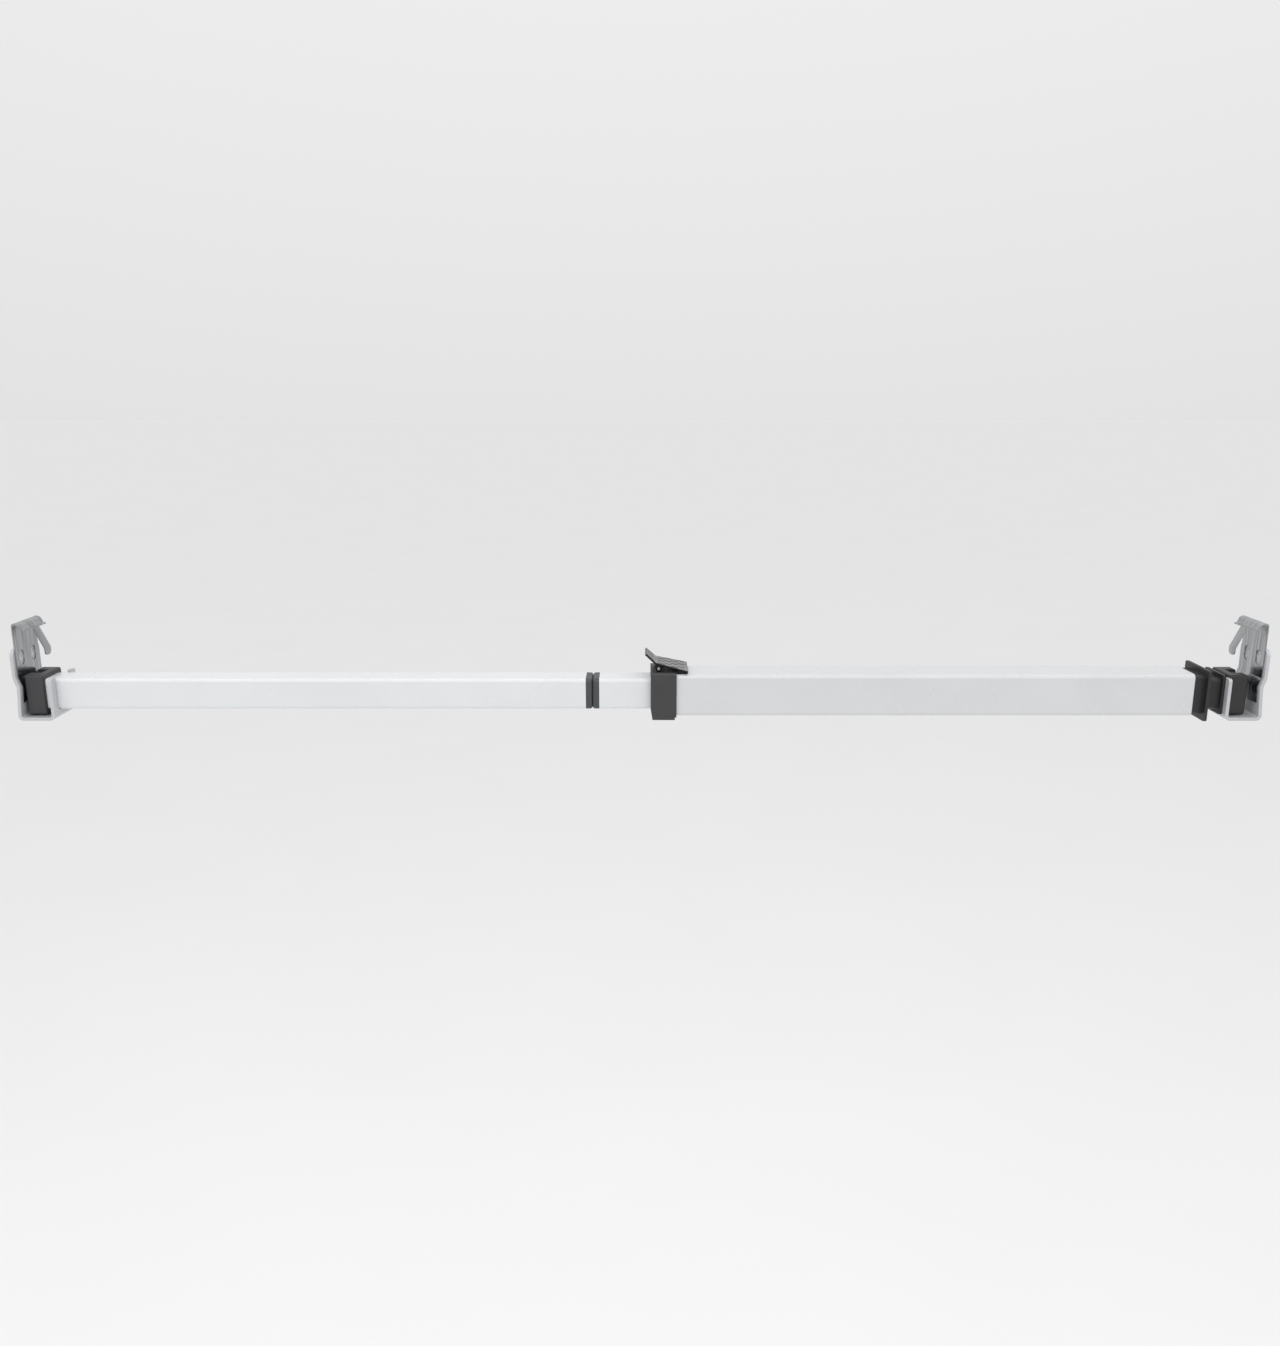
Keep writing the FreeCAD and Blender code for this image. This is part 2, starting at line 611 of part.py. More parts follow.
# ---------------------------------------------------------------- end mouldings
def end_block(side, x):
    """Rounded block with a sloping pocket for the tongue in its jamb-side face."""
    block = bar(side + "_block_square", x, "block_len", "block_tall", "block_deep")
    eased = rounded(side + "_block_eased", block, lambda e: True, size("block_round"))
    face = "left_block_in" if side == "left" else "right_block_in"
    top, foot = "axis_z + block_tall / 2 + 1", "axis_z + block_tall / 2 - ramp_drop"
    pocket = slab(side + "_ramp", hand(side, [
        (face + " - 1", foot), (face + " + ramp_foot", foot), (face + " + ramp_top", top),
        (face + " - 1", top)]), "ramp_wide")
    return cut(side + "_block_pocketed", eased, pocket)


def left_end():
    block = end_block("left", "left_block_in")
    plug = soft_bar("left_plug", "extension_x - 1", "plug_len + 1", "inner_plug",
                    size("inner_round") - size("tube_wall"))
    screw_x = "extension_x + block_fixing"
    hole = pilot("left_pilot", screw_x, "inner_side / 2")
    sub_part("left_end_block", cut("left_moulding", joined("left_solid", block, plug), hole))
    sub_part("left_block_screw", rear_screw("left_fixing", screw_x, "inner_side / 2"))
    return screw_x


def right_end():
    block = end_block("right", "right_block_x")
    bend = size("outer_round") - size("tube_wall")
    plug = soft_bar("right_plug", "outer_end - plug_len", "plug_len + plug_show + 1", "outer_plug", bend)
    flange = soft_bar("right_flange", "flange_x", "flange_thick", "flange_side", size("block_round"))
    neck = soft_bar("right_neck", "flange_x + flange_thick - 1",
                    "right_block_x - flange_x - flange_thick + 2", "inner_side", size("inner_round"))
    plate = rounded("right_plate",
                    bar("right_plate_square", "fork_x - fork_play - collar_plate", "collar_plate",
                        "block_tall", "block_deep"),
                    lambda e: runs(e, X), size("block_round"))
    screw_x = "outer_end - cap_fixing"
    hole = pilot("right_pilot", screw_x, "outer_side / 2")
    whole = joined("right_solid", plug, flange, neck, plate, block)
    sub_part("right_end_cap", cut("right_moulding", whole, hole))
    sub_part("right_cap_screw", rear_screw("right_fixing", screw_x, "outer_side / 2"))
    return screw_x


# ---------------------------------------------------------------- tubes and their joint
def tubes(left_screw_x, right_screw_x):
    wall = "tube_wall"
    rear = "inner_side / 2"
    extension = tube("extension_body", "extension_x", "extension_len", "inner_side", wall, "inner_round")
    button_hole = rod("extension_button_hole", "y", ("button_x", "inner_side / 2 - 2 * tube_wall", "axis_z"),
                      "button_radius + slide_gap", "3 * tube_wall")
    sub_part("extension_tube", cut("extension_drilled", extension, button_hole,
                                   pilot("extension_hole_left", left_screw_x, rear),
                                   pilot("extension_hole_ring", "ring_x - rivet_in", rear)))
    inner = tube("inner_body", "inner_x", "inner_len", "inner_side", wall, "inner_round")
    sub_part("inner_tube", cut("inner_drilled", inner,
                               sunk_shape("inner_hole_spigot", "inner_x + core_fixing", rear),
                               pilot("inner_hole_glide", "glide_x - glide_fixing", rear)))
    outer = tube("outer_body", "outer_x", "outer_len", "outer_side", wall, "outer_round")
    holes = [pilot("outer_hole_%d" % i, "outer_x + collar_lap / 2", "outer_side / 2", "axis_z %s collar_fixing" % way)
             for i, way in enumerate("-+")]
    sub_part("outer_tube", cut("outer_drilled", outer, *holes,
                               pilot("outer_hole_cap", right_screw_x, "outer_side / 2")))


def ring(label, x, sleeve_x, mating_x, bore, extra):
    """Square ring with a sleeve that fits its tube and a bore for the core."""
    collar = soft_bar(label + "_flange", x, "ring_len", "inner_side", size("inner_round"))
    place = worked_out(mating_x)
    eased = rounded(label + "_eased", collar, lambda e: lies_at(e, X, place), size("ring_round"))
    sleeve = soft_bar(label + "_sleeve", sleeve_x, "plug_len", "inner_plug",
                      size("inner_round") - size("tube_wall"))
    hollow = bar(label + "_bore", "%s - 1" % (sleeve_x if mating_x == "mate_x" else x),
                 "plug_len + ring_len + 2", bore)
    sub_part(label, cut(label + "_bored", joined(label + "_solid", eased, sleeve), hollow, *extra))


def joint():
    """Core that joins the extension to the inner tube, held by a spring button."""
    rear = "inner_side / 2"
    button_way = rod("ring_button_hole", "y", ("button_x", "0", "axis_z"),
                     "button_radius + slide_gap", "inner_side")
    ring("extension_ring", "ring_x", "ring_x - plug_len", "mate_x", "spigot_side + 2 * slide_gap",
         [button_way, pilot("ring_rivet_hole", "ring_x - rivet_in", rear)])
    ring("inner_ring", "second_x", "inner_x", "second_x", "spigot_side",
         [sunk_shape("ring_screw_hole", "inner_x + core_fixing", rear)])
    rivet_len = "inner_side / 2 - spigot_side / 2 - slide_gap - 0.1"
    sub_part("ring_rivet", rear_screw("ring_fixing", "ring_x - rivet_in", rear, length=rivet_len))
    sub_part("spigot_screw", sunk_screw("spigot_fixing", "inner_x + core_fixing", rear))
    core = bar("core_square", "spigot_x", "spigot_len", "spigot_side")
    eased = rounded("core_eased", core, lambda e: runs(e, X), size("spigot_edge"))
    bore = rod("core_bore", "y", ("button_x", "0 - bore_floor", "axis_z"),
               "button_radius + slide_gap", "bore_floor + spigot_side")
    sub_part("joint_spigot", cut("core_bored", eased, bore, pilot("core_pilot", "inner_x + core_fixing", rear)))
    button = rod("button_blank", "y", ("button_x", "inner_side / 2 + button_proud - button_len", "axis_z"),
                 "button_radius", "button_len")
    tip = size("inner_side") / 2 + size("button_proud")
    sub_part("snap_button", rounded("button_domed", button, lambda e: lies_at(e, Y, tip),
                                    size("button_edge")))
    coil("snap_spring", "button_x", "0 - bore_floor", "axis_z", "button_radius - 1",
         "inner_side / 2 + button_proud - button_len + bore_floor")


def coil(label, x, y, z, radius, length):
    """Helical spring along Y, standing between y and y + length."""
    stand = "(coil_wire + fixed_gap)"
    helix = doc.addObject("Part::Helix", label + "_helix")
    bind(helix, Radius=radius, Height="%s - 2 * %s" % (length, stand),
         Pitch="(%s) / coil_turns" % length)
    ring_of = doc.addObject("Part::Circle", label + "_wire")
    bind(ring_of, Radius="coil_wire")
    put(ring_of, radius, "0", "0", turn=Rotation(X, 90))
    sweep = doc.addObject("Part::Sweep", label + "_sweep")
    sweep.Sections, sweep.Spine = [ring_of], (helix, ["Edge1"])
    sweep.Solid, sweep.Frenet = True, True
    put(sweep, x, "%s + %s" % (y, stand), z, turn=Rotation(X, -90))
    sub_part(label, sweep)


def guides():
    """Mouldings that keep the inner tube central in the outer tube."""
    rear = "inner_side / 2"
    bend = size("outer_round") - size("tube_wall")
    head = soft_bar("glide_head", "glide_x", "glide_head", "outer_bore - 2 * slide_gap", bend)
    plug = soft_bar("glide_plug", "glide_x - glide_plug", "glide_plug + 1", "inner_plug",
                    size("inner_round") - size("tube_wall"))
    sub_part("inner_glide", cut("glide_drilled", joined("glide_solid", head, plug),
                                pilot("glide_pilot", "glide_x - glide_fixing", rear)))
    sub_part("glide_screw", rear_screw("glide_fixing", "glide_x - glide_fixing", rear))
    liner = soft_bar("liner_block", "outer_x", "liner_len", "outer_plug", bend)
    way = soft_bar("liner_way", "outer_x - 1", "liner_len + 2", "inner_side + 2 * slide_gap",
                   size("inner_round"))
    lost = [pilot("liner_hole_%d" % i, "outer_x + collar_lap / 2", "outer_side / 2", "axis_z %s collar_fixing" % way)
            for i, way in enumerate("-+")]
    sub_part("collar_liner", cut("liner_bored", liner, way, *lost))


# ---------------------------------------------------------------- collar, lever and brake
def collar():
    """Housing on the mouth of the outer tube: a stepped sleeve with two ears for the pin."""
    right = "collar_x + collar_len"
    low = "axis_z - collar_low"
    body = slab("collar_shell", [
        ("collar_x", "collar_z"), (right, "collar_z"), (right, low + " + step_rise"),
        (right + " - step_in", low + " + step_rise"), (right + " - step_in", low),
        ("collar_x + slant_in", low), ("collar_x", low + " + slant_rise")], "2 * collar_half")
    round_body(body, "collar_edges", lambda e: runs(e, X), "collar_edge")
    tube_seat = soft_bar("collar_seat", "outer_x", "collar_lap + 1", "outer_side", size("outer_round"))
    mouth = soft_bar("collar_mouth", "collar_x - 1", "collar_len", "inner_side + 4 * slide_gap",
                     size("inner_round"))
    window = box("collar_window", ("pin_x + shoe_shift - shoe_len / 2 - slide_gap", "0 - shoe_half - slide_gap",
                                   "axis_z"),
                 ("shoe_len + 2 * slide_gap", "2 * (shoe_half + slide_gap)", "collar_top + 1"))
    ears = []
    for i, sign in enumerate((-1, 1)):
        inner = "ear_inside" if sign > 0 else "0 - ear_inside - ear_thick"
        post = box("ear_post_%d" % i, ("pin_x - ear_radius", inner, "collar_z - 0.5"),
                   ("2 * ear_radius", "ear_thick", "pin_rise + 0.5"))
        ears += [post, rod("ear_eye_%d" % i, "y", ("pin_x", inner, "pin_z"), "ear_radius", "ear_thick")]
    pin_way = rod("collar_pin_hole", "y", ("pin_x", "0 - collar_half", "pin_z"),
                  "pin_radius", "2 * collar_half")
    lost = [pilot("collar_hole_%d" % i, "outer_x + collar_lap / 2", "collar_half", "axis_z %s collar_fixing" % way)
            for i, way in enumerate("-+")]
    hollow = cut("collar_hollow", body, tube_seat, mouth, window, *lost)
    sub_part("collar", cut("collar_done", joined("collar_eared", hollow, *ears), pin_way))
    length = "collar_half - outer_bore / 2"
    screws = [rear_screw("collar_screw_%d" % i, "outer_x + collar_lap / 2", "collar_half",
                         "(axis_z %s collar_fixing)" % way, length) for i, way in enumerate("-+")]
    pair = doc.addObject("Part::Compound", "collar_screw_pair")
    pair.Links = screws
    sub_part("collar_screws", pair)
    sub_part("lever_pin", rod("pin_blank", "y", ("pin_x", "0 - pin_half", "pin_z"), "pin_radius",
                              "2 * pin_half"))


def lever():
    """Bent plate with a thumb tab, two cheeks on the pin, tail skirts and the cam."""
    thick = size("lever_thick")
    knee = Vector(size("collar_x") + size("knee_in"), 0, size("collar_z") + size("knee_rise"))
    fall, rise = (math.radians(size(name)) for name in ("lever_slope", "tab_slope"))
    tail_end = knee + Vector(math.cos(fall), 0, -math.sin(fall)) * size("plate_len")
    tab_end = knee + Vector(-math.cos(rise), 0, math.sin(rise)) * size("tab_len")
    under = Vector(0, 0, -thick / 2)
    wide = size("tail_width")
    plate = strip([tab_end + under, knee + under, tail_end + under], (size("knee_bend"),), thick, wide)
    run = tail_end.x - tab_end.x
    narrow = (wide - size("tab_width")) / 2
    for sign in (-1, 1):
        edge = sign * wide / 2
        low, outside = -2 * run, edge + sign * wide
        corners = [Vector(tab_end.x - thick, edge - sign * narrow * (run + thick) / run, low),
                   Vector(tail_end.x + thick, edge + sign * narrow * thick / run, low),
                   Vector(tail_end.x + thick, outside, low), Vector(tab_end.x - thick, outside, low)]
        wedge = Part.Face(Part.makePolygon(corners + corners[:1]))
        plate = plate.cut(wedge.extrude(Vector(0, 0, 4 * run)))
    pin = Vector(size("pin_x"), 0, size("pin_z"))

    def plate_under(x):
        """Height just inside the plate above x, so that a web runs into it."""
        return knee.z - (x - knee.x) * math.tan(fall) - thick * 0.8

    pieces = [plate]
    boss = size("ear_radius") + size("fixed_gap")
    cheek_in = size("ear_inside") + size("ear_thick") + size("cheek_gap")
    cheek_thick, skirt_thick = size("cheek_thick"), size("skirt_thick")
    for sign in (-1, 1):
        low_y = cheek_in if sign > 0 else -cheek_in - cheek_thick
        flare = pin.x + 2 * boss
        corners = [Vector(pin.x - boss, low_y, pin.z), Vector(pin.x + boss, low_y, pin.z),
                   Vector(flare, low_y, plate_under(flare)),
                   Vector(pin.x - boss, low_y, plate_under(pin.x - boss))]
        web = Part.Face(Part.makePolygon(corners + corners[:1])).extrude(Vector(0, cheek_thick, 0))
        eye = Part.makeCylinder(boss, cheek_thick, Vector(pin.x, low_y, pin.z), Y)
        pieces += [web, eye]
        skirt_y = sign * (wide / 2 - size("skirt_in"))
        tube_top = size("axis_z") + size("outer_side") / 2 + size("skirt_gap")
        start = size("collar_x") + size("collar_len") + size("skirt_clear")
        finish = tail_end.x - size("fixed_gap")
        corners = [Vector(start, 0, tube_top), Vector(finish, 0, tube_top),
                   Vector(finish, 0, plate_under(finish)), Vector(start, 0, plate_under(start))]
        skirt = Part.Face(Part.makePolygon(corners + corners[:1])).extrude(Vector(0, skirt_thick, 0))
        skirt.translate(Vector(0, skirt_y - (skirt_thick if sign > 0 else 0), 0))
        pieces.append(skirt)
    lean = math.radians(size("cam_lean"))
    centre = pin + Vector(math.cos(lean), 0, -math.sin(lean)) * size("cam_offset")
    half_cam = size("cam_half")
    pieces.append(Part.makeCylinder(size("cam_radius"), 2 * half_cam, centre - Vector(0, half_cam, 0), Y))
    near, far = pin.x - size("pin_radius") - size("fixed_gap"), centre.x + size("cam_radius")
    corners = [Vector(near, -half_cam, pin.z), Vector(far, -half_cam, centre.z),
               Vector(far, -half_cam, plate_under(far)), Vector(near, -half_cam, plate_under(near))]
    pieces.append(Part.Face(Part.makePolygon(corners + corners[:1])).extrude(Vector(0, 2 * half_cam, 0)))
    whole = pieces[0].fuse(pieces[1:])
    bore = Part.makeCylinder(size("pin_radius") + size("pin_gap"), 2 * wide, pin - Vector(0, wide, 0), Y)
    sub_part("cam_lever", feature("lever_done", whole.cut(bore).removeSplitter()))


def lever_spring():
    """Torsion spring on the pin, one leg under the knee and one on the collar."""
    wire, radius, start = size("twist_wire"), size("twist_coil"), size("twist_from")
    wound = size("twist_pitch") * size("twist_turns")
    helix = Part.makeHelix(size("twist_pitch"), wound, radius)
    ring_of = Part.Wire(Part.Circle(Vector(radius, 0, 0), Y, wire).toShape())
    body = Part.Wire(helix).makePipeShell([ring_of], True, True)
    body.Placement = Placement(Vector(size("pin_x"), start, size("pin_z")), Rotation(X, -90))
    legs = []
    for end, way in ((start, Vector(0.55, 0, 1)), (start + wound, Vector(0.3, 0, 1))):
        root = Vector(size("pin_x") + radius, end, size("pin_z"))
        legs.append(Part.makeCylinder(wire, size("twist_leg"), root, way))
    sub_part("lever_spring", feature("lever_coil", body.fuse(legs)))


def brake():
    """Shoe in the collar's window, with a rubber pad on the inner tube."""
    low = "axis_z + inner_side / 2 + pad_gap"
    x = "pin_x + shoe_shift - shoe_len / 2"
    sub_part("brake_pad", box("pad_block", (x, "0 - shoe_half", low),
                              ("shoe_len", "2 * shoe_half", "pad_thick")))
    sub_part("brake_shoe", box("shoe_block", (x, "0 - shoe_half", low + " + pad_thick"),
                               ("shoe_len", "2 * shoe_half",
                                "collar_top - inner_side / 2 - pad_thick - shoe_top_gap")))


# ---------------------------------------------------------------- build, check and write
for end in ("left", "right"):
    bracket(end)
    clip_plate(end)
    latch_spring(end)
tubes(left_end(), right_end())
joint()
guides()
collar()
lever()
lever_spring()
brake()
doc.recompute()

for thing in doc.Objects:
    if {"Invalid", "Error"} & set(thing.State):
        raise RuntimeError("%s did not build: %s" % (thing.Name, thing.State))
for thing in sub_parts:
    if thing.Shape.isNull() or not thing.Shape.isValid() or not thing.Shape.Solids:
        raise RuntimeError("%s has no valid solid" % thing.Label)

os.makedirs("parts", exist_ok=True)
for thing in sub_parts:
    thing.Shape.exportStep("parts/%s.step" % thing.Label)
    print("%-20s %9.1f mm3  %d solid(s)" % (thing.Label, thing.Shape.Volume, len(thing.Shape.Solids)))
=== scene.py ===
# %% [markdown]
# # A window security bar, finished in Blender
#
# The bar is a set of square steel tubes that telescope between two brackets, one on each
# jamb. Its engineering shape is already made. This lesson loads that shape as a fixed frame,
# gives every part the finish that its real material has, and adds the small pieces that
# catch the eye from close by: threaded screws, the button's coil spring and the grip bars on
# the clamping lever.
#
# Everything is in metres, in the frame's own axes: X along the bar, Y away from the room,
# and Z up.

# %% Load the frame
import math

import bmesh
import bpy
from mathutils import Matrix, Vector


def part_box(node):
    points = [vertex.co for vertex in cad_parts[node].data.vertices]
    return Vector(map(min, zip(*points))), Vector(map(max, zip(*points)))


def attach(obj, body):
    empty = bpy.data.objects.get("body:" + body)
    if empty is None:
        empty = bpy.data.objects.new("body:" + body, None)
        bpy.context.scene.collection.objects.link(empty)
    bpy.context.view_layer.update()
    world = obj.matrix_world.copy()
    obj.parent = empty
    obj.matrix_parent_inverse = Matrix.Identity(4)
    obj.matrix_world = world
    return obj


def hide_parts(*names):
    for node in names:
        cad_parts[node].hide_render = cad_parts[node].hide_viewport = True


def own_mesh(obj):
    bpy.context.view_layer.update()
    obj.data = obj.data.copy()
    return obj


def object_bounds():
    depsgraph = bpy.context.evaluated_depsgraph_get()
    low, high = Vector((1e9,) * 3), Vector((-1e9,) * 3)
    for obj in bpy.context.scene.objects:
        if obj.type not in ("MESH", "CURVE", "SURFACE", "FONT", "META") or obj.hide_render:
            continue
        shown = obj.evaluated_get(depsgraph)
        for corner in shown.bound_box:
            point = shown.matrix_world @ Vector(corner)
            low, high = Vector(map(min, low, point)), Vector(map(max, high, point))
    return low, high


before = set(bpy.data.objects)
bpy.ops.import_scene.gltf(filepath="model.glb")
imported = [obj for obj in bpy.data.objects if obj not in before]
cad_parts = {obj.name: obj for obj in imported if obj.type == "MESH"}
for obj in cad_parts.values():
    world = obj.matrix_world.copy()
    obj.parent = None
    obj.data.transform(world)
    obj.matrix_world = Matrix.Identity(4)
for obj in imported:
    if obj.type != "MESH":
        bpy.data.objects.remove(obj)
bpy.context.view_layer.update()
MM = 0.001

# %% [markdown]
# ## Two helpers for materials
#
# Blender's shaders work in linear light, and paint is picked as sRGB, the numbers that a
# screen shows. One function turns a hex value into linear light. A second adds a node to a
# tree: its settings are keyword arguments, and its inputs are either numbers or the sockets
# that feed them, so a material reads from top to bottom like a recipe.


# %% Colour and node helpers
def colour(hex_text):
    """sRGB hex to linear RGBA."""
    parts = [int(hex_text[i : i + 2], 16) / 255 for i in (1, 3, 5)]
    linear = [c / 12.92 if c <= 0.04045 else ((c + 0.055) / 1.055) ** 2.4 for c in parts]
    return (*linear, 1.0)


def add(tree, kind, inputs=None, **settings):
    """A new node of that kind. An input is a value or a socket to link from."""
    made = tree.nodes.new(kind)
    for name, value in settings.items():
        setattr(made, name, value)
    for name, value in (inputs or {}).items():
        if isinstance(value, bpy.types.NodeSocket):
            tree.links.new(value, made.inputs[name])
        else:
            made.inputs[name].default_value = value
    return made


def new_material(name):
    """A material with an empty tree, and the place on the object that patterns start from."""
    made = bpy.data.materials.new(name)
    made.use_nodes = True
    made.node_tree.nodes.clear()
    place = add(made.node_tree, "ShaderNodeTexCoord").outputs["Object"]
    return made, made.node_tree, place


def per_metre(size_in_mm):
    """Texture scale whose features are about that size."""
    return 1 / (size_in_mm * MM)


print("mid grey in linear light:", round(colour("#808080")[0], 3))

# %% [markdown]
# ## Soft edges: where they wear, and where light is painted on them
#
# No made edge is perfectly sharp. A bent strap, a pressed clip and a moulded block all end
# in a small radius that catches the light as a fine line. The Bevel node rounds only the
# shading, so the frame's meshes stay as they are. Comparing its rounded normal with the true
# one also tells how near an edge a point is, and that drives wear: paint thins there, and
# plastic polishes pale. The same mask also paints light: a highlight along the brackets'
# edges, and shade on the lever's rim. One helper gives both.


# %% Soft edges
def soft_edges(tree, radius_mm):
    """The rounded normal, and a 0 to 1 mask that is high near edges."""
    rounded = add(tree, "ShaderNodeBevel", {"Radius": radius_mm * MM}, samples=6).outputs["Normal"]
    true = add(tree, "ShaderNodeNewGeometry").outputs["Normal"]
    same = add(tree, "ShaderNodeVectorMath", {0: rounded, 1: true}, operation="DOT_PRODUCT")
    near = add(
        tree,
        "ShaderNodeMapRange",
        {"Value": same.outputs["Value"], "From Min": 1.0, "From Max": 0.85},
    )
    return rounded, near.outputs["Result"]


print("edge helper ready")

# %% [markdown]
# ## Powder coat on the tubes
#
# The tubes are cold rolled steel with a white polyester powder coat. The powder is sprayed
# dry and melted in an oven, which leaves a hard gloss skin with a faint ripple, known as
# orange peel. The ripple is 2 to 3 mm from crest to crest. A noise texture drives a weak
# bump at that size, and a slower noise varies the gloss, as handling does. The two tubes are
# coated in separate batches, so their whites differ a little. The brackets take the same
# coat greyed as painted shade, with their edges lighter as a painted highlight.


# %% Powder coat
PEEL = 2.6  # mm between the crests of the ripple
SMEAR = 38.0  # mm, patches of slightly duller skin
COAT_EDGE = 0.4  # mm, radius that the melted powder leaves on an edge


def powder_coat(name, white, duller, thinned_and_lit_edge):
    made, tree, place = new_material(name)
    smear = add(tree, "ShaderNodeTexNoise", {"Vector": place, "Scale": per_metre(SMEAR), "Detail": 3.0})
    gloss = add(
        tree,
        "ShaderNodeMapRange",
        {"Value": smear.outputs["Fac"], "From Min": 0.3, "From Max": 0.7, "To Min": 0.23, "To Max": 0.3},
    )
    tone = add(
        tree,
        "ShaderNodeMix",
        {"Factor": smear.outputs["Fac"], "A": colour(white), "B": colour(duller)},
        data_type="RGBA",
    )
    rounded, edge = soft_edges(tree, COAT_EDGE)
    # Near edges the colour goes to the edge tone: thinned paint on the tubes, and on the brackets a lighter
    # tone that is a painted highlight.
    thin_and_lit_edge = add(
        tree,
        "ShaderNodeMix",
        {"Factor": edge, "A": tone.outputs["Result"], "B": colour(thinned_and_lit_edge)},
        data_type="RGBA",
    )
    peel = add(tree, "ShaderNodeTexNoise", {"Vector": place, "Scale": per_metre(PEEL), "Detail": 1.0})
    ripple = add(
        tree,
        "ShaderNodeBump",
        {"Height": peel.outputs["Fac"], "Strength": 0.04, "Distance": 0.08 * MM, "Normal": rounded},
    )
    skin = add(
        tree,
        "ShaderNodeBsdfPrincipled",
        {
            "Base Color": thin_and_lit_edge.outputs["Result"],
            "Roughness": gloss.outputs["Result"],
            "Normal": ripple.outputs["Normal"],
            "IOR": 1.5,
            "Coat Weight": 0.3,
            "Coat Roughness": 0.12,
        },
    )
    add(tree, "ShaderNodeOutputMaterial", {"Surface": skin.outputs["BSDF"]})
    return made


tube_coat = powder_coat("powder_coat_inner_tube", "#DBDDDF", "#D3D5D7", "#C9CBCD")
outer_coat = powder_coat("powder_coat_outer_tube", "#CFD1D2", "#C6C8CA", "#BFC1C3")
# The brackets' white is greyed as painted shade, and their lighter edge tone is a painted highlight.
shaded_bracket_coat = powder_coat("powder_coat_brackets", "#BFC0C3", "#B0B1B4", "#D6D7D9")
print("powder coats:", tube_coat.name, outer_coat.name, shaded_bracket_coat.name)

# %% [markdown]
# ## Bright rolled spring steel
#
# The clips are stainless strip, rolled bright between polished rolls and then hardened. It
# works almost as a mirror, broken by fine lines along the rolling direction. The strip is
# only ever bent about Y, so the lines cross Y everywhere, up the plate and over the hood. A
# noise that is short in Y and almost forty times longer in X and Z gives them. They vary the
# tone and the roughness, and press a very shallow bump.


# %% Spring steel
ROLL_LINE = 1.1  # mm across one rolling line, drawn three times too coarse so that it shows
ROLL_LENGTH = 40.0  # mm along it
STRIP_EDGE = 0.15  # mm, radius of the tumbled edge


def rolled_steel(name, tint, drawn, sheared, smooth, rough):
    made, tree, place = new_material(name)
    lines = add(
        tree,
        "ShaderNodeMapping",
        {"Vector": place, "Scale": (per_metre(ROLL_LENGTH), per_metre(ROLL_LINE), per_metre(ROLL_LENGTH))},
    )
    grain = add(tree, "ShaderNodeTexNoise", {"Vector": lines.outputs["Vector"], "Scale": 1.0, "Detail": 4.0})
    gloss = add(
        tree,
        "ShaderNodeMapRange",
        {"Value": grain.outputs["Fac"], "From Min": 0.3, "From Max": 0.7, "To Min": smooth, "To Max": rough},
    )
    rounded, edge = soft_edges(tree, STRIP_EDGE)
    streak = add(
        tree,
        "ShaderNodeMapRange",
        {"Value": grain.outputs["Fac"], "From Min": 0.35, "From Max": 0.65},
    )
    strip = add(
        tree,
        "ShaderNodeMix",
        {"Factor": streak.outputs["Result"], "A": colour(tint), "B": colour(drawn)},
        data_type="RGBA",
    )
    tone = add(
        tree,
        "ShaderNodeMix",
        {"Factor": edge, "A": strip.outputs["Result"], "B": colour(sheared)},
        data_type="RGBA",
    )
    press = add(
        tree,
        "ShaderNodeBump",
        {"Height": grain.outputs["Fac"], "Strength": 0.08, "Distance": 0.02 * MM, "Normal": rounded},
    )
    steel = add(
        tree,
        "ShaderNodeBsdfPrincipled",
        {
            "Base Color": tone.outputs["Result"],
            "Metallic": 1.0,
            "Roughness": gloss.outputs["Result"],
            "Normal": press.outputs["Normal"],
        },
    )
    add(tree, "ShaderNodeOutputMaterial", {"Surface": steel.outputs["BSDF"]})
    return made


clip_steel = rolled_steel("rolled_stainless_strip", "#B6B8BA", "#8C8E90", "#6C6E70", 0.12, 0.3)
wire_steel = rolled_steel("drawn_spring_wire", "#B4B6B8", "#8A8C8E", "#A8AAAC", 0.2, 0.38)
print("steels:", clip_steel.name, wire_steel.name)

# %% [markdown]
# ## Moulded plastics
#
# The end blocks, collar, rings and guides are injection moulded nylon. The mould is spark
# eroded, so the surface is a fine even grain that scatters light: dark, satin, and without
# sharp reflections. A Voronoi texture at the size of a spark crater gives the grain. One
# recipe serves every moulding, with its own colour and gloss.


# %% Moulded nylon and rubber
CRATER = 0.55  # mm, drawn coarser than the real 0.1 mm so that it shows
MOULD_EDGE = 0.35  # mm, radius in the corners of the mould
HANDLED = 9.0  # mm, patches that are worn by handling


def moulded(name, tint, worn, polished, rough, grain=0.16):
    made, tree, place = new_material(name)
    craters = add(tree, "ShaderNodeTexVoronoi", {"Vector": place, "Scale": per_metre(CRATER)})
    cloud = add(tree, "ShaderNodeTexNoise", {"Vector": place, "Scale": per_metre(HANDLED), "Detail": 4.0})
    tone = add(
        tree,
        "ShaderNodeMix",
        {"Factor": cloud.outputs["Fac"], "A": colour(tint), "B": colour(worn)},
        data_type="RGBA",
    )
    gloss = add(
        tree,
        "ShaderNodeMapRange",
        {"Value": cloud.outputs["Fac"], "To Min": rough - 0.08, "To Max": rough + 0.08},
    )
    rounded, edge = soft_edges(tree, MOULD_EDGE)
    rubbed = add(
        tree,
        "ShaderNodeMix",
        {"Factor": edge, "A": tone.outputs["Result"], "B": colour(polished)},
        data_type="RGBA",
    )
    pits = add(
        tree,
        "ShaderNodeBump",
        {"Height": craters.outputs["Distance"], "Strength": grain, "Distance": 0.05 * MM, "Normal": rounded},
    )
    plastic = add(
        tree,
        "ShaderNodeBsdfPrincipled",
        {
            "Base Color": rubbed.outputs["Result"],
            "Roughness": gloss.outputs["Result"],
            "Normal": pits.outputs["Normal"],
            "IOR": 1.53,
        },
    )
    add(tree, "ShaderNodeOutputMaterial", {"Surface": plastic.outputs["BSDF"]})
    return made


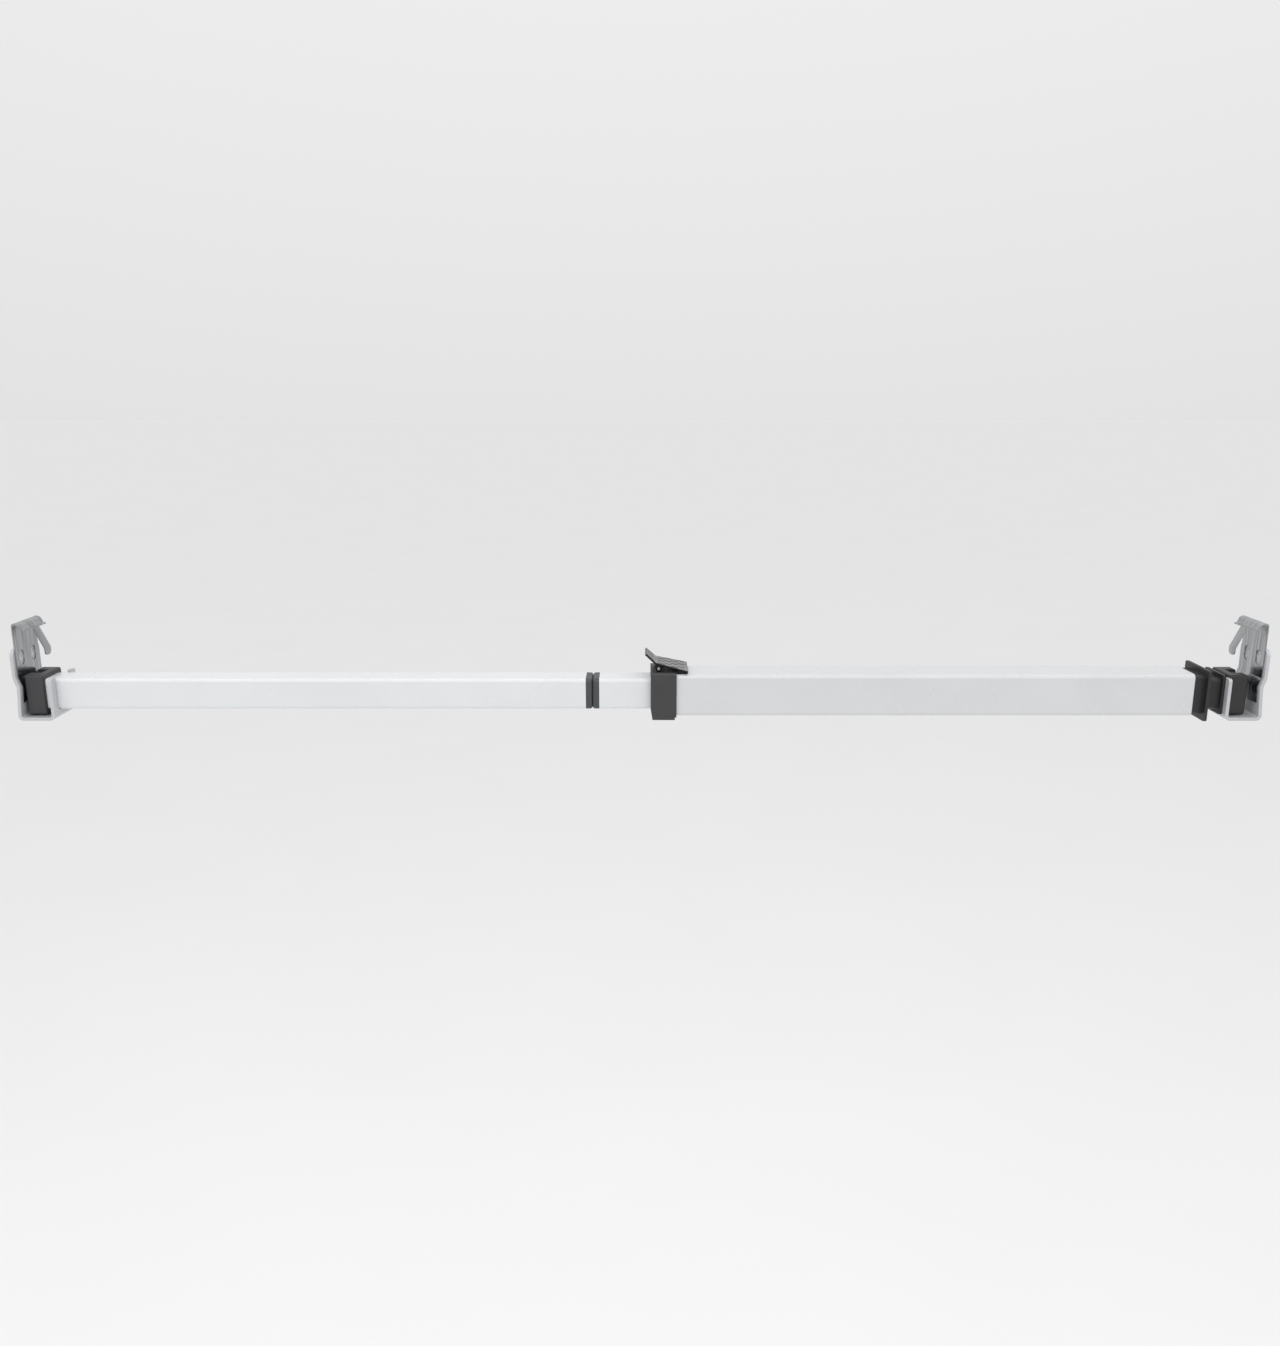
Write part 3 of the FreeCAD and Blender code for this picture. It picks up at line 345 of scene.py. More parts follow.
black_nylon = moulded("moulded_black_nylon", "#2E2E30", "#373739", "#4A4A4C", 0.5)
# The right end cap takes the black nylon made darker, as painted shade.
shaded_black_nylon = moulded("moulded_deep_black_nylon", "#1A1A1B", "#212122", "#303031", 0.46)
grey_nylon = moulded("moulded_grey_nylon", "#393C3E", "#414446", "#525557", 0.48)
natural_nylon = moulded("moulded_natural_nylon", "#D9D5C8", "#CFCABB", "#E2DFD4", 0.42, 0.1)
rubber_and_groove_shade = moulded("moulded_rubber", "#1B1B1C", "#242425", "#2E2E2F", 0.8, 0.25)
print("plastics:", black_nylon.name, shaded_black_nylon.name, grey_nylon.name, natural_nylon.name, rubber_and_groove_shade.name)

# %% [markdown]
# ## The screws' zinc
#
# The screws are plated with bright zinc and a thin bluish passivation, which is never quite
# even. A cloudy noise turns its colour and breaks its gloss, and drivers rub the edges of
# the head and the recess bright.


# %% Zinc plate
PLATED_EDGE = 0.25  # mm, radius of a rolled edge under its plating


def plated(name, tint, cloudy, rubbed, smooth, rough, cloud_size):
    made, tree, place = new_material(name)
    cloud = add(tree, "ShaderNodeTexNoise", {"Vector": place, "Scale": per_metre(cloud_size), "Detail": 6.0})
    tone = add(
        tree,
        "ShaderNodeMix",
        {"Factor": cloud.outputs["Fac"], "A": colour(tint), "B": colour(cloudy)},
        data_type="RGBA",
    )
    gloss = add(
        tree,
        "ShaderNodeMapRange",
        {"Value": cloud.outputs["Fac"], "From Min": 0.3, "From Max": 0.7, "To Min": smooth, "To Max": rough},
    )
    rounded, edge = soft_edges(tree, PLATED_EDGE)
    bright = add(
        tree,
        "ShaderNodeMix",
        {"Factor": edge, "A": tone.outputs["Result"], "B": colour(rubbed)},
        data_type="RGBA",
    )
    uneven = add(
        tree,
        "ShaderNodeBump",
        {"Height": cloud.outputs["Fac"], "Strength": 0.3, "Distance": 0.05 * MM, "Normal": rounded},
    )
    metal = add(
        tree,
        "ShaderNodeBsdfPrincipled",
        {
            "Base Color": bright.outputs["Result"],
            "Metallic": 1.0,
            "Roughness": gloss.outputs["Result"],
            "Normal": uneven.outputs["Normal"],
        },
    )
    add(tree, "ShaderNodeOutputMaterial", {"Surface": metal.outputs["BSDF"]})
    return made


screw_zinc = plated("zinc_plated_screw", "#B4B8BC", "#A3A7A6", "#C6CACD", 0.22, 0.36, 1.6)
print("plated metal:", screw_zinc.name)

# %% [markdown]
# ## The lever: painted light on its upper face, painted shade below
#
# The lever is a zinc casting. Its upper face is painted a lit satin grey with scratches along
# the lever, and its cheeks, underside and a rim round the upper face are painted black as
# shade. The object's own normals tell the upper face from the rest, and a stretched noise
# makes the scratches. The edge mask keeps the rim black, as painted shade.


# %% Lever casting
BELT_LINE, BELT_LENGTH = 0.9, 14.0  # mm, across and along one scratch, drawn coarse to show
SHADED_RIM = 1.2  # mm, how far the painted shade shows round the lit face


def top_lit_casting(name, black, bright, scratch):
    made, tree, place = new_material(name)
    lines = add(
        tree,
        "ShaderNodeMapping",
        {"Vector": place, "Scale": (per_metre(BELT_LENGTH), per_metre(BELT_LINE), per_metre(BELT_LENGTH))},
    )
    belt = add(tree, "ShaderNodeTexNoise", {"Vector": lines.outputs["Vector"], "Scale": 1.0, "Detail": 3.0})
    scratch_mix = add(
        tree,
        "ShaderNodeMapRange",
        {"Value": belt.outputs["Fac"], "From Min": 0.38, "From Max": 0.62},
    )
    lit_satin = add(
        tree,
        "ShaderNodeMix",
        {"Factor": scratch_mix.outputs["Result"], "A": colour(bright), "B": colour(scratch)},
        data_type="RGBA",
    )
    own = add(tree, "ShaderNodeSeparateXYZ", {"Vector": add(tree, "ShaderNodeTexCoord").outputs["Normal"]})
    # Painted light: faces turned upward take the lit satin grey, and the cheeks and underside keep the black
    # as painted shade.
    lit_upper = add(tree, "ShaderNodeMapRange", {"Value": own.outputs["Z"], "From Min": 0.6, "From Max": 0.7})
    rounded, edge = soft_edges(tree, SHADED_RIM)
    # Near every edge the black is kept as a rim of painted shade.
    lit_inside = add(
        tree,
        "ShaderNodeMath",
        {0: lit_upper.outputs["Result"], 1: edge},
        operation="SUBTRACT",
        use_clamp=True,
    )
    face = add(
        tree,
        "ShaderNodeMix",
        {"Factor": lit_inside.outputs["Value"], "A": colour(black), "B": lit_satin.outputs["Result"]},
        data_type="RGBA",
    )
    gloss = add(tree, "ShaderNodeMapRange", {"Value": belt.outputs["Fac"], "To Min": 0.3, "To Max": 0.5})
    press = add(
        tree,
        "ShaderNodeBump",
        {"Height": belt.outputs["Fac"], "Strength": 0.15, "Distance": 0.04 * MM, "Normal": rounded},
    )
    metal = add(
        tree,
        "ShaderNodeBsdfPrincipled",
        {
            "Base Color": face.outputs["Result"],
            "Metallic": 1.0,
            "Roughness": gloss.outputs["Result"],
            "Normal": press.outputs["Normal"],
        },
    )
    add(tree, "ShaderNodeOutputMaterial", {"Surface": metal.outputs["BSDF"]})
    return made


lever_casting = top_lit_casting("blackened_ground_casting", "#2B2B2D", "#A6A6A8", "#747476")
print("lever:", lever_casting.name)

# %% [markdown]
# ## Finishes on the frame's own parts
#
# Most of the frame's parts already have the right shape, so they only need a finish. A list
# of which part is made of what keeps that in one place. Assigning to the material slots
# leaves the meshes alone.

# %% Paint the frame
FINISHES = {
    tube_coat: ["extension_tube", "inner_tube"],
    outer_coat: ["outer_tube"],
    shaded_bracket_coat: ["left_bracket", "right_bracket"],
    clip_steel: ["left_clip_plate", "right_clip_plate", "left_latch_spring", "right_latch_spring"],
    wire_steel: ["snap_spring", "lever_spring", "lever_pin"],
    black_nylon: ["left_end_block", "collar", "brake_shoe", "snap_button"],
    shaded_black_nylon: ["right_end_cap"],
    grey_nylon: ["extension_ring", "inner_ring", "joint_spigot"],
    natural_nylon: ["collar_liner", "inner_glide"],
    rubber_and_groove_shade: ["brake_pad"],
    lever_casting: ["cam_lever"],
    screw_zinc: [
        "left_block_screw",
        "ring_rivet",
        "spigot_screw",
        "glide_screw",
        "collar_screws",
        "right_cap_screw",
    ],
}
for finish, names in FINISHES.items():
    for name in names:
        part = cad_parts[name]
        for slot in part.material_slots:
            slot.material = finish
painted = sum(len(names) for names in FINISHES.values())
print("painted", painted, "of", len(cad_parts), "parts")

# %% [markdown]
# ## Grip bars on the lever
#
# A thumb needs grip on the lever, so short bars stand just proud of its upper face, in
# staggered rows over the thumb tab and the long plate. They take the black rubber's finish,
# as painted shade for the grooves between ribs. They are one shape repeated by a rule, which
# is what Geometry Nodes are for. A flat grid is the plan: its long edges are the rows of
# bars, and every second one is dropped, as in a brick wall seen edge by edge. The grid's
# points are then moved onto the tapered plate, and each edge left becomes a rod mostly sunk in it.

# %% Grip bar tree
BAR = 0.6 * MM  # radius of a bar's rod, most of which is sunk in the plate
ROW = 3.3 * MM  # from one row to the next
BAR_RUN = 4.4 * MM  # length of one bar


def grip_tree():
    """Group that adds staggered bars between a near and a far edge, each centred on Y."""
    tree = bpy.data.node_groups.new("staggered_grip_bars", "GeometryNodeTree")
    face = tree.interface
    face.new_socket("Geometry", in_out="INPUT", socket_type="NodeSocketGeometry")
    for name, kind in (
        ("Near", "NodeSocketVector"),
        ("Far", "NodeSocketVector"),
        ("Near width", "NodeSocketFloat"),
        ("Far width", "NodeSocketFloat"),
        ("Rows", "NodeSocketInt"),
        ("Bars in a row", "NodeSocketInt"),
        ("Bar radius", "NodeSocketFloat"),
        ("Material", "NodeSocketMaterial"),
    ):
        face.new_socket(name, in_out="INPUT", socket_type=kind)
    face.new_socket("Geometry", in_out="OUTPUT", socket_type="NodeSocketGeometry")
    given = add(tree, "NodeGroupInput").outputs

    def maths(operation, first, second=0.0):
        return add(tree, "ShaderNodeMath", {0: first, 1: second}, operation=operation).outputs["Value"]

    across = maths("ADD", given["Bars in a row"], 1.0)
    plan = add(
        tree,
        "GeometryNodeMeshGrid",
        {"Size X": 1.0, "Size Y": 1.0, "Vertices X": across, "Vertices Y": given["Rows"]},
    )
    ends = add(tree, "GeometryNodeInputMeshEdgeVertices").outputs
    one = add(tree, "ShaderNodeSeparateXYZ", {"Vector": ends["Position 1"]}).outputs
    two = add(tree, "ShaderNodeSeparateXYZ", {"Vector": ends["Position 2"]}).outputs
    cross_edge = maths("LESS_THAN", maths("ABSOLUTE", maths("SUBTRACT", one["X"], two["X"])), 0.001)
    middle = maths("MULTIPLY", maths("ADD", maths("ADD", one["X"], two["X"]), 1.0), 0.5)
    column = maths("FLOOR", maths("MULTIPLY", middle, given["Bars in a row"]))
    gaps = maths("SUBTRACT", given["Rows"], 1.0)
    row = maths("ROUND", maths("MULTIPLY", maths("ADD", one["Y"], 0.5), gaps))
    odd = maths("GREATER_THAN", maths("MODULO", maths("ADD", column, row), 2.0), 0.5)
    bars = add(
        tree,
        "GeometryNodeDeleteGeometry",
        {"Geometry": plan.outputs["Mesh"], "Selection": maths("MAXIMUM", cross_edge, odd)},
        domain="EDGE",
        mode="EDGE_FACE",
    )
    flat = add(tree, "ShaderNodeSeparateXYZ", {"Vector": add(tree, "GeometryNodeInputPosition").outputs[0]})
    share = maths("ADD", flat.outputs["X"], 0.5)
    wide = add(
        tree,
        "ShaderNodeMapRange",
        {"Value": share, "To Min": given["Near width"], "To Max": given["Far width"]},
    )
    run = add(tree, "ShaderNodeVectorMath", {0: given["Far"], 1: given["Near"]}, operation="SUBTRACT")
    gone = add(tree, "ShaderNodeVectorMath", {0: run.outputs["Vector"], "Scale": share}, operation="SCALE")
    spread = add(
        tree,
        "ShaderNodeCombineXYZ",
        {"Y": maths("MULTIPLY", flat.outputs["Y"], wide.outputs["Result"])},
    )
    along = add(tree, "ShaderNodeVectorMath", {0: given["Near"], 1: gone.outputs["Vector"]}, operation="ADD")
    spot = add(
        tree,
        "ShaderNodeVectorMath",
        {0: along.outputs["Vector"], 1: spread.outputs["Vector"]},
        operation="ADD",
    )
    placed = add(
        tree,
        "GeometryNodeSetPosition",
        {"Geometry": bars.outputs["Geometry"], "Position": spot.outputs["Vector"]},
    )
    lines = add(tree, "GeometryNodeMeshToCurve", {"Mesh": placed.outputs["Geometry"]})
    section = add(tree, "GeometryNodeCurvePrimitiveCircle", {"Resolution": 10, "Radius": given["Bar radius"]})
    rods = add(
        tree,
        "GeometryNodeCurveToMesh",
        {"Curve": lines.outputs["Curve"], "Profile Curve": section.outputs["Curve"], "Fill Caps": True},
    )
    solid = add(tree, "GeometryNodeRealizeInstances", {"Geometry": rods.outputs["Mesh"]})
    coated = add(
        tree,
        "GeometryNodeSetMaterial",
        {"Geometry": solid.outputs["Geometry"], "Material": given["Material"]},
    )
    both = add(tree, "GeometryNodeJoinGeometry")
    tree.links.new(given["Geometry"], both.inputs["Geometry"])
    tree.links.new(coated.outputs["Geometry"], both.inputs["Geometry"])
    add(tree, "NodeGroupOutput", {"Geometry": both.outputs["Geometry"]})
    return tree


def use_tree(piece, tree, values):
    """Adds the tree to the piece as a modifier, with its inputs set by their identifiers."""
    modifier = piece.modifiers.new(tree.name, "NODES")
    modifier.node_group = tree
    for item in tree.interface.items_tree:
        if item.in_out == "INPUT" and item.name in values:
            modifier[item.identifier] = values[item.name]


def settle(piece):
    """Turns what the modifiers made into the piece's own plain mesh."""
    bpy.context.view_layer.update()
    final = bpy.data.meshes.new_from_object(piece.evaluated_get(bpy.context.evaluated_depsgraph_get()))
    piece.modifiers.clear()
    piece.data = final
    final.name = piece.name
    print(piece.name, "has", len(final.polygons), "faces")
    return piece


def new_piece(name, mesh=None):
    piece = bpy.data.objects.new(name, mesh or bpy.data.meshes.new(name))
    bpy.context.scene.collection.objects.link(piece)
    return piece


grip_bars = grip_tree()
print("tree:", grip_bars.name, "with", len(grip_bars.nodes), "nodes")

# %% [markdown]
# The lever is bent at a knee: the thumb tab rises from it to the left, and the plate falls
# from it to the right. The knee's place follows from the part's box and the two slopes.

# %% Grip bars on the lever
PLATE = 1.3 * MM  # thickness
FALL, RISE = math.radians(13.5), math.radians(42.5)  # slopes of the plate and the tab
PLATE_RUN, TAB_RUN = 23.2 * MM, 9.2 * MM  # how far they go from the knee
TAIL_WIDTH, TAB_WIDTH = 30 * MM, 21 * MM  # at their far ends
BAR_MARGIN, TAB_MARGIN = 2.4 * MM, 1.2 * MM  # from the last bar to the rim
KNEE_MARGIN = 1.8 * MM  # from the knee to the first bar
BAR_SUNK = 0.6  # share of a bar's radius that its centre line lies below the face

lever_low, lever_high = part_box("cam_lever")
half = PLATE / 2
knee = Vector(
    (
        lever_high.x - half * math.sin(FALL) - PLATE_RUN * math.cos(FALL),
        0,
        lever_high.z + half * (1 - math.cos(RISE)) - TAB_RUN * math.sin(RISE),
    )
)
down_plate = Vector((math.cos(FALL), 0, -math.sin(FALL)))
up_tab = Vector((-math.cos(RISE), 0, math.sin(RISE)))
sunk = Vector((0, 0, BAR_SUNK * BAR))
whole_run = lever_high.x - lever_low.x


def width_at(point):
    """Width of the lever there, less a margin on each side."""
    share = (point.x - lever_low.x) / whole_run
    return TAB_WIDTH + (TAIL_WIDTH - TAB_WIDTH) * share - 2 * BAR_MARGIN


grip = new_piece("lever_grip_bars")
stretches = (
    (down_plate, KNEE_MARGIN, PLATE_RUN - BAR_MARGIN),
    (up_tab, KNEE_MARGIN, TAB_RUN - TAB_MARGIN),
)
for way, first, last in stretches:
    near, far = knee + way * first - sunk, knee + way * last - sunk
    use_tree(
        grip,
        grip_bars,
        {
            "Near": near,
            "Far": far,
            "Near width": width_at(near),
            "Far width": width_at(far),
            "Rows": round(width_at(near) / ROW),
            "Bars in a row": round((last - first) / BAR_RUN),
            "Bar radius": BAR,
            # Painted shade: the bars take the black rubber so that they read as the shaded grooves between
            # ribs.
            "Material": rubber_and_groove_shade,
        },
    )
settle(grip)
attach(grip, "lever")

# %% [markdown]
# ## The button's coil spring
# A small compression spring of round wire pushes the snap button out through the wall of
# the tube. The wire's centre line is a spiral, which follows a rule, so a Spiral curve node
# draws it and a circle swept along it gives the wire. The real spring gets shorter as the
# button goes in. This one keeps its rest length and rides on the inner bar.


# %% Coil tree
def coil_tree():
    """Group that winds round wire into a coil along Y, from a base point."""
    tree = bpy.data.node_groups.new("coil_spring", "GeometryNodeTree")
    face = tree.interface
    face.new_socket("Geometry", in_out="INPUT", socket_type="NodeSocketGeometry")
    for name, kind in (
        ("Base", "NodeSocketVector"),
        ("Turns", "NodeSocketFloat"),
        ("Coil radius", "NodeSocketFloat"),
        ("Length", "NodeSocketFloat"),
        ("Wire radius", "NodeSocketFloat"),
        ("Material", "NodeSocketMaterial"),
    ):
        face.new_socket(name, in_out="INPUT", socket_type=kind)
    face.new_socket("Geometry", in_out="OUTPUT", socket_type="NodeSocketGeometry")
    given = add(tree, "NodeGroupInput").outputs
    line = add(
        tree,
        "GeometryNodeCurveSpiral",
        {
            "Resolution": 32,
            "Rotations": given["Turns"],
            "Start Radius": given["Coil radius"],
            "End Radius": given["Coil radius"],
            "Height": given["Length"],
        },
    )
    section = add(
        tree,
        "GeometryNodeCurvePrimitiveCircle",
        {"Resolution": 10, "Radius": given["Wire radius"]},
    )
    wire = add(
        tree,
        "GeometryNodeCurveToMesh",
        {"Curve": line.outputs["Curve"], "Profile Curve": section.outputs["Curve"], "Fill Caps": True},
    )
    laid = add(
        tree,
        "GeometryNodeTransform",
        {"Geometry": wire.outputs["Mesh"], "Translation": given["Base"], "Rotation": (-math.pi / 2, 0, 0)},
    )
    solid = add(tree, "GeometryNodeRealizeInstances", {"Geometry": laid.outputs["Geometry"]})
    drawn = add(
        tree,
        "GeometryNodeSetMaterial",
        {"Geometry": solid.outputs["Geometry"], "Material": given["Material"]},
    )
    add(tree, "NodeGroupOutput", {"Geometry": drawn.outputs["Geometry"]})
    return tree


coil_springs = coil_tree()
print("tree:", coil_springs.name, "with", len(coil_springs.nodes), "nodes")

# %% Button spring
SPRING_WIRE = 0.4 * MM
SPRING_TURNS = 5

low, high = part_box("snap_spring")
seat = Vector(((low.x + high.x) / 2, low.y, (low.z + high.z) / 2))
button_spring = new_piece("button_spring")
use_tree(
    button_spring,
    coil_springs,
    {
        "Base": seat + Vector((0, SPRING_WIRE, 0)),
        "Turns": SPRING_TURNS,
        "Coil radius": (high.x - low.x) / 2 - SPRING_WIRE,
        "Length": high.y - low.y - 2 * SPRING_WIRE,
        "Wire radius": SPRING_WIRE,
        "Material": wire_steel,
    },
)
settle(button_spring)
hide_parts("snap_spring")
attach(button_spring, "inner_bar")
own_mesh(button_spring)
print("button spring", round((high.y - low.y) / MM, 1), "mm long at rest")

# %% [markdown]
# ## Self-tapping screws
#
# The mouldings are held in the tubes by screws from the back. Each has a pan head with a
# cross recess, and a thread that cuts its own way. The joint's head alone is flush, because
# the outer tube's collar slides over it. One grid of points makes the whole screw: rings run
# from the crown, over the head and down the thread to the tip, and each ring's radius and
# height say what is there. The recess is pressed into the first rings, and the thread is a
# ridge that climbs as it goes round.

# %% Screw mesh
HEAD_RADIUS, HEAD_TALL = 2.9 * MM, 1.6 * MM
HEAD_STRAIGHT, HEAD_DOME = 0.45, 0.55  # shares of the height below and in the dome
CORE, CREST, LEAD = 1.1 * MM, 1.42 * MM, 1.3 * MM  # the thread's two radii and its climb
RECESS_ARM, RECESS_HALF, RECESS_DEEP = 1.55 * MM, 0.38 * MM, 1.0 * MM
RECESS_SIDE, RECESS_END = 0.12 * MM, 0.5 * MM  # how far the slopes of its walls reach
TIP = 2.2 * MM  # length of the tapered end
AROUND, CROWN_RINGS = 40, 16


def recess_depth(x, z):
    """How deep the cross is at a point of the crown."""
    narrow, far = min(abs(x), abs(z)), max(abs(x), abs(z))
    across = min(max((RECESS_HALF - narrow) / RECESS_SIDE, 0), 1)
    out = min(max((RECESS_ARM - far) / RECESS_END, 0), 1)
    return RECESS_DEEP * across * out


def screw_mesh(name, shank, flush=False):
    """Closed mesh of one screw along Y, with the head's seat at the origin."""
    rings = []
    for step in range(CROWN_RINGS + 1):
        reach = step / CROWN_RINGS
        radius = HEAD_RADIUS * reach
        dome = HEAD_DOME * math.sqrt(max(1 - reach**2.6, 0))
        crown = 0.0 if flush else HEAD_TALL * (HEAD_STRAIGHT + dome)
        rings.append((radius, crown, "crown"))
    if flush:
        rings += [(CORE, -HEAD_RADIUS + CORE, "neck")]
    else:
        rings += [(HEAD_RADIUS, 0.0, "rim"), (CORE, 0.0, "neck")]
    below = rings[-1][1]
    steps = max(round((shank + below) / LEAD * 10), 8)
    for step in range(1, steps + 1):
        rings.append((CORE, below - (shank + below) * step / steps, "thread"))
    grid = bmesh.new()
    loops = []
    for radius, height, kind in rings:
        loop = []
        for k in range(AROUND):
            turn = 2 * math.pi * k / AROUND
            wide, up = radius, height
            if kind == "thread":
                left = (height + shank) / TIP
                climb = (height / LEAD - k / AROUND) % 1
                ridge = max(1 - 3.2 * abs(climb - 0.5), 0)
                wide = (CORE + (CREST - CORE) * ridge) * min(left * 0.85 + 0.12, 1)
            x, z = wide * math.cos(turn), wide * math.sin(turn)
            if kind == "crown":
                up = height - recess_depth(x, z)
            loop.append(grid.verts.new((x, up, z)))
        loops.append(loop)
    for one, two in zip(loops, loops[1:]):
        for k in range(AROUND):
            grid.faces.new((one[k], one[(k + 1) % AROUND], two[(k + 1) % AROUND], two[k]))
    grid.faces.new(loops[-1])
    bmesh.ops.remove_doubles(grid, verts=grid.verts, dist=1e-7)
    bmesh.ops.recalc_face_normals(grid, faces=grid.faces)
    mesh = bpy.data.meshes.new(name)
    grid.to_mesh(mesh)
    grid.free()
    mesh.shade_smooth()
    return mesh


print("screw head", round(2 * HEAD_RADIUS / MM, 1), "mm across, thread", round(2 * CREST / MM, 1), "mm")

# %% [markdown]
# A node tree puts a screw at every point it is given and turns each one by its own seeded
# angle, because no two screws stop at the same place. The points are vertices of a small
# mesh, one for each screw, and they come from the boxes of the frame's plain screws.


# %% Screws tree
def screw_tree():
    tree = bpy.data.node_groups.new("screws_at_points", "GeometryNodeTree")
    face = tree.interface
    face.new_socket("Geometry", in_out="INPUT", socket_type="NodeSocketGeometry")
    for name, kind in (
        ("Screw", "NodeSocketObject"),
        ("Seed", "NodeSocketInt"),
        ("Material", "NodeSocketMaterial"),
    ):
        face.new_socket(name, in_out="INPUT", socket_type=kind)
    face.new_socket("Geometry", in_out="OUTPUT", socket_type="NodeSocketGeometry")
    given = add(tree, "NodeGroupInput").outputs
    screw = add(tree, "GeometryNodeObjectInfo", {"Object": given["Screw"]})
    turn = add(
        tree,
        "FunctionNodeRandomValue",
        {"Min": (0.0, 0.0, 0.0), "Max": (0.0, math.pi / 2, 0.0), "Seed": given["Seed"]},
        data_type="FLOAT_VECTOR",
    )
    placed = add(
        tree,
        "GeometryNodeInstanceOnPoints",
        {
            "Points": given["Geometry"],
            "Instance": screw.outputs["Geometry"],
            "Rotation": turn.outputs["Value"],
        },
    )
    solid = add(tree, "GeometryNodeRealizeInstances", {"Geometry": placed.outputs["Instances"]})
    coated = add(
        tree,
        "GeometryNodeSetMaterial",
        {"Geometry": solid.outputs["Geometry"], "Material": given["Material"]},
    )
    add(tree, "NodeGroupOutput", {"Geometry": coated.outputs["Geometry"]})
    return tree


screws_at = screw_tree()
print("tree:", screws_at.name)


# %% Place the screws
def head_seat(node, tall=HEAD_TALL):
    """Middle of the underside of a plain screw's head, which faces +Y."""
    low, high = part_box(node)
    return Vector(((low.x + high.x) / 2, high.y - tall, (low.z + high.z) / 2))


def place_screws(name, body, seats, shank, nodes, flush=False, seed=1):
    pattern = new_piece(name + "_pattern", screw_mesh(name + "_pattern", shank, flush))
    points = bpy.data.meshes.new(name)
    points.from_pydata(seats, [], [])
    piece = new_piece(name, points)
    use_tree(piece, screws_at, {"Screw": pattern, "Seed": seed, "Material": screw_zinc})
    settle(piece)
    bpy.data.objects.remove(pattern)
    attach(piece, body)
    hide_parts(*nodes)
    return piece


LONG, SHORT = 8.9 * MM, 2.6 * MM  # from the head's seat to the tip
FLUSH = 0.02 * MM  # how far the joint's head stays below the wall
bar_nodes = ["left_block_screw", "glide_screw"]
place_screws("bar_screws", "inner_bar", [head_seat(n) for n in bar_nodes], LONG, bar_nodes)
place_screws("cap_screw", "outer_bar", [head_seat("right_cap_screw")], LONG, ["right_cap_screw"], seed=2)
flush_seat = head_seat("spigot_screw", FLUSH)
place_screws("joint_screw", "inner_bar", [flush_seat], LONG, ["spigot_screw"], True, 3)
low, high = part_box("collar_screws")
plain_radius = (high.x - low.x) / 2
pair = [
    Vector(((low.x + high.x) / 2, high.y - HEAD_TALL, z))
    for z in (low.z + plain_radius, high.z - plain_radius)
]
place_screws("collar_back_screws", "outer_bar", pair, SHORT, ["collar_screws"], seed=4)

# %% [markdown]
# ## Camera
#
# The bar is seen from the room, a little above it, with both brackets near the edges of a
# nearly square view. The lens is a moderately wide one, so the clips at the jambs are seen
# from inside. The camera looks along +Y and down by its pitch.

# %% Camera
PITCH_DOWN = math.radians(13.7)
STAND = Vector((0.435, -0.7915, 0.1796))
eye = bpy.data.cameras.new("camera")
eye.lens = 30.76
eye.clip_start, eye.clip_end = 0.01, 200
camera = bpy.data.objects.new("camera", eye)
camera.location = STAND
camera.rotation_euler = (math.pi / 2 - PITCH_DOWN, 0, 0)
bpy.context.scene.collection.objects.link(camera)
bpy.context.scene.camera = camera
print("camera stands at", tuple(STAND))

# %% [markdown]
# ## Floor and light
#
# White tubes against white need light from everywhere, or they turn grey on one side. A
# bright sky gives most of it, brighter above and behind than in front, so that faces turned
# differently have different tones. A long narrow strip overhead draws the highlight on the
# tubes' top edges, and two panels in front fill in. The floor is pale and lies well below,
# so that it takes only a faint shadow.

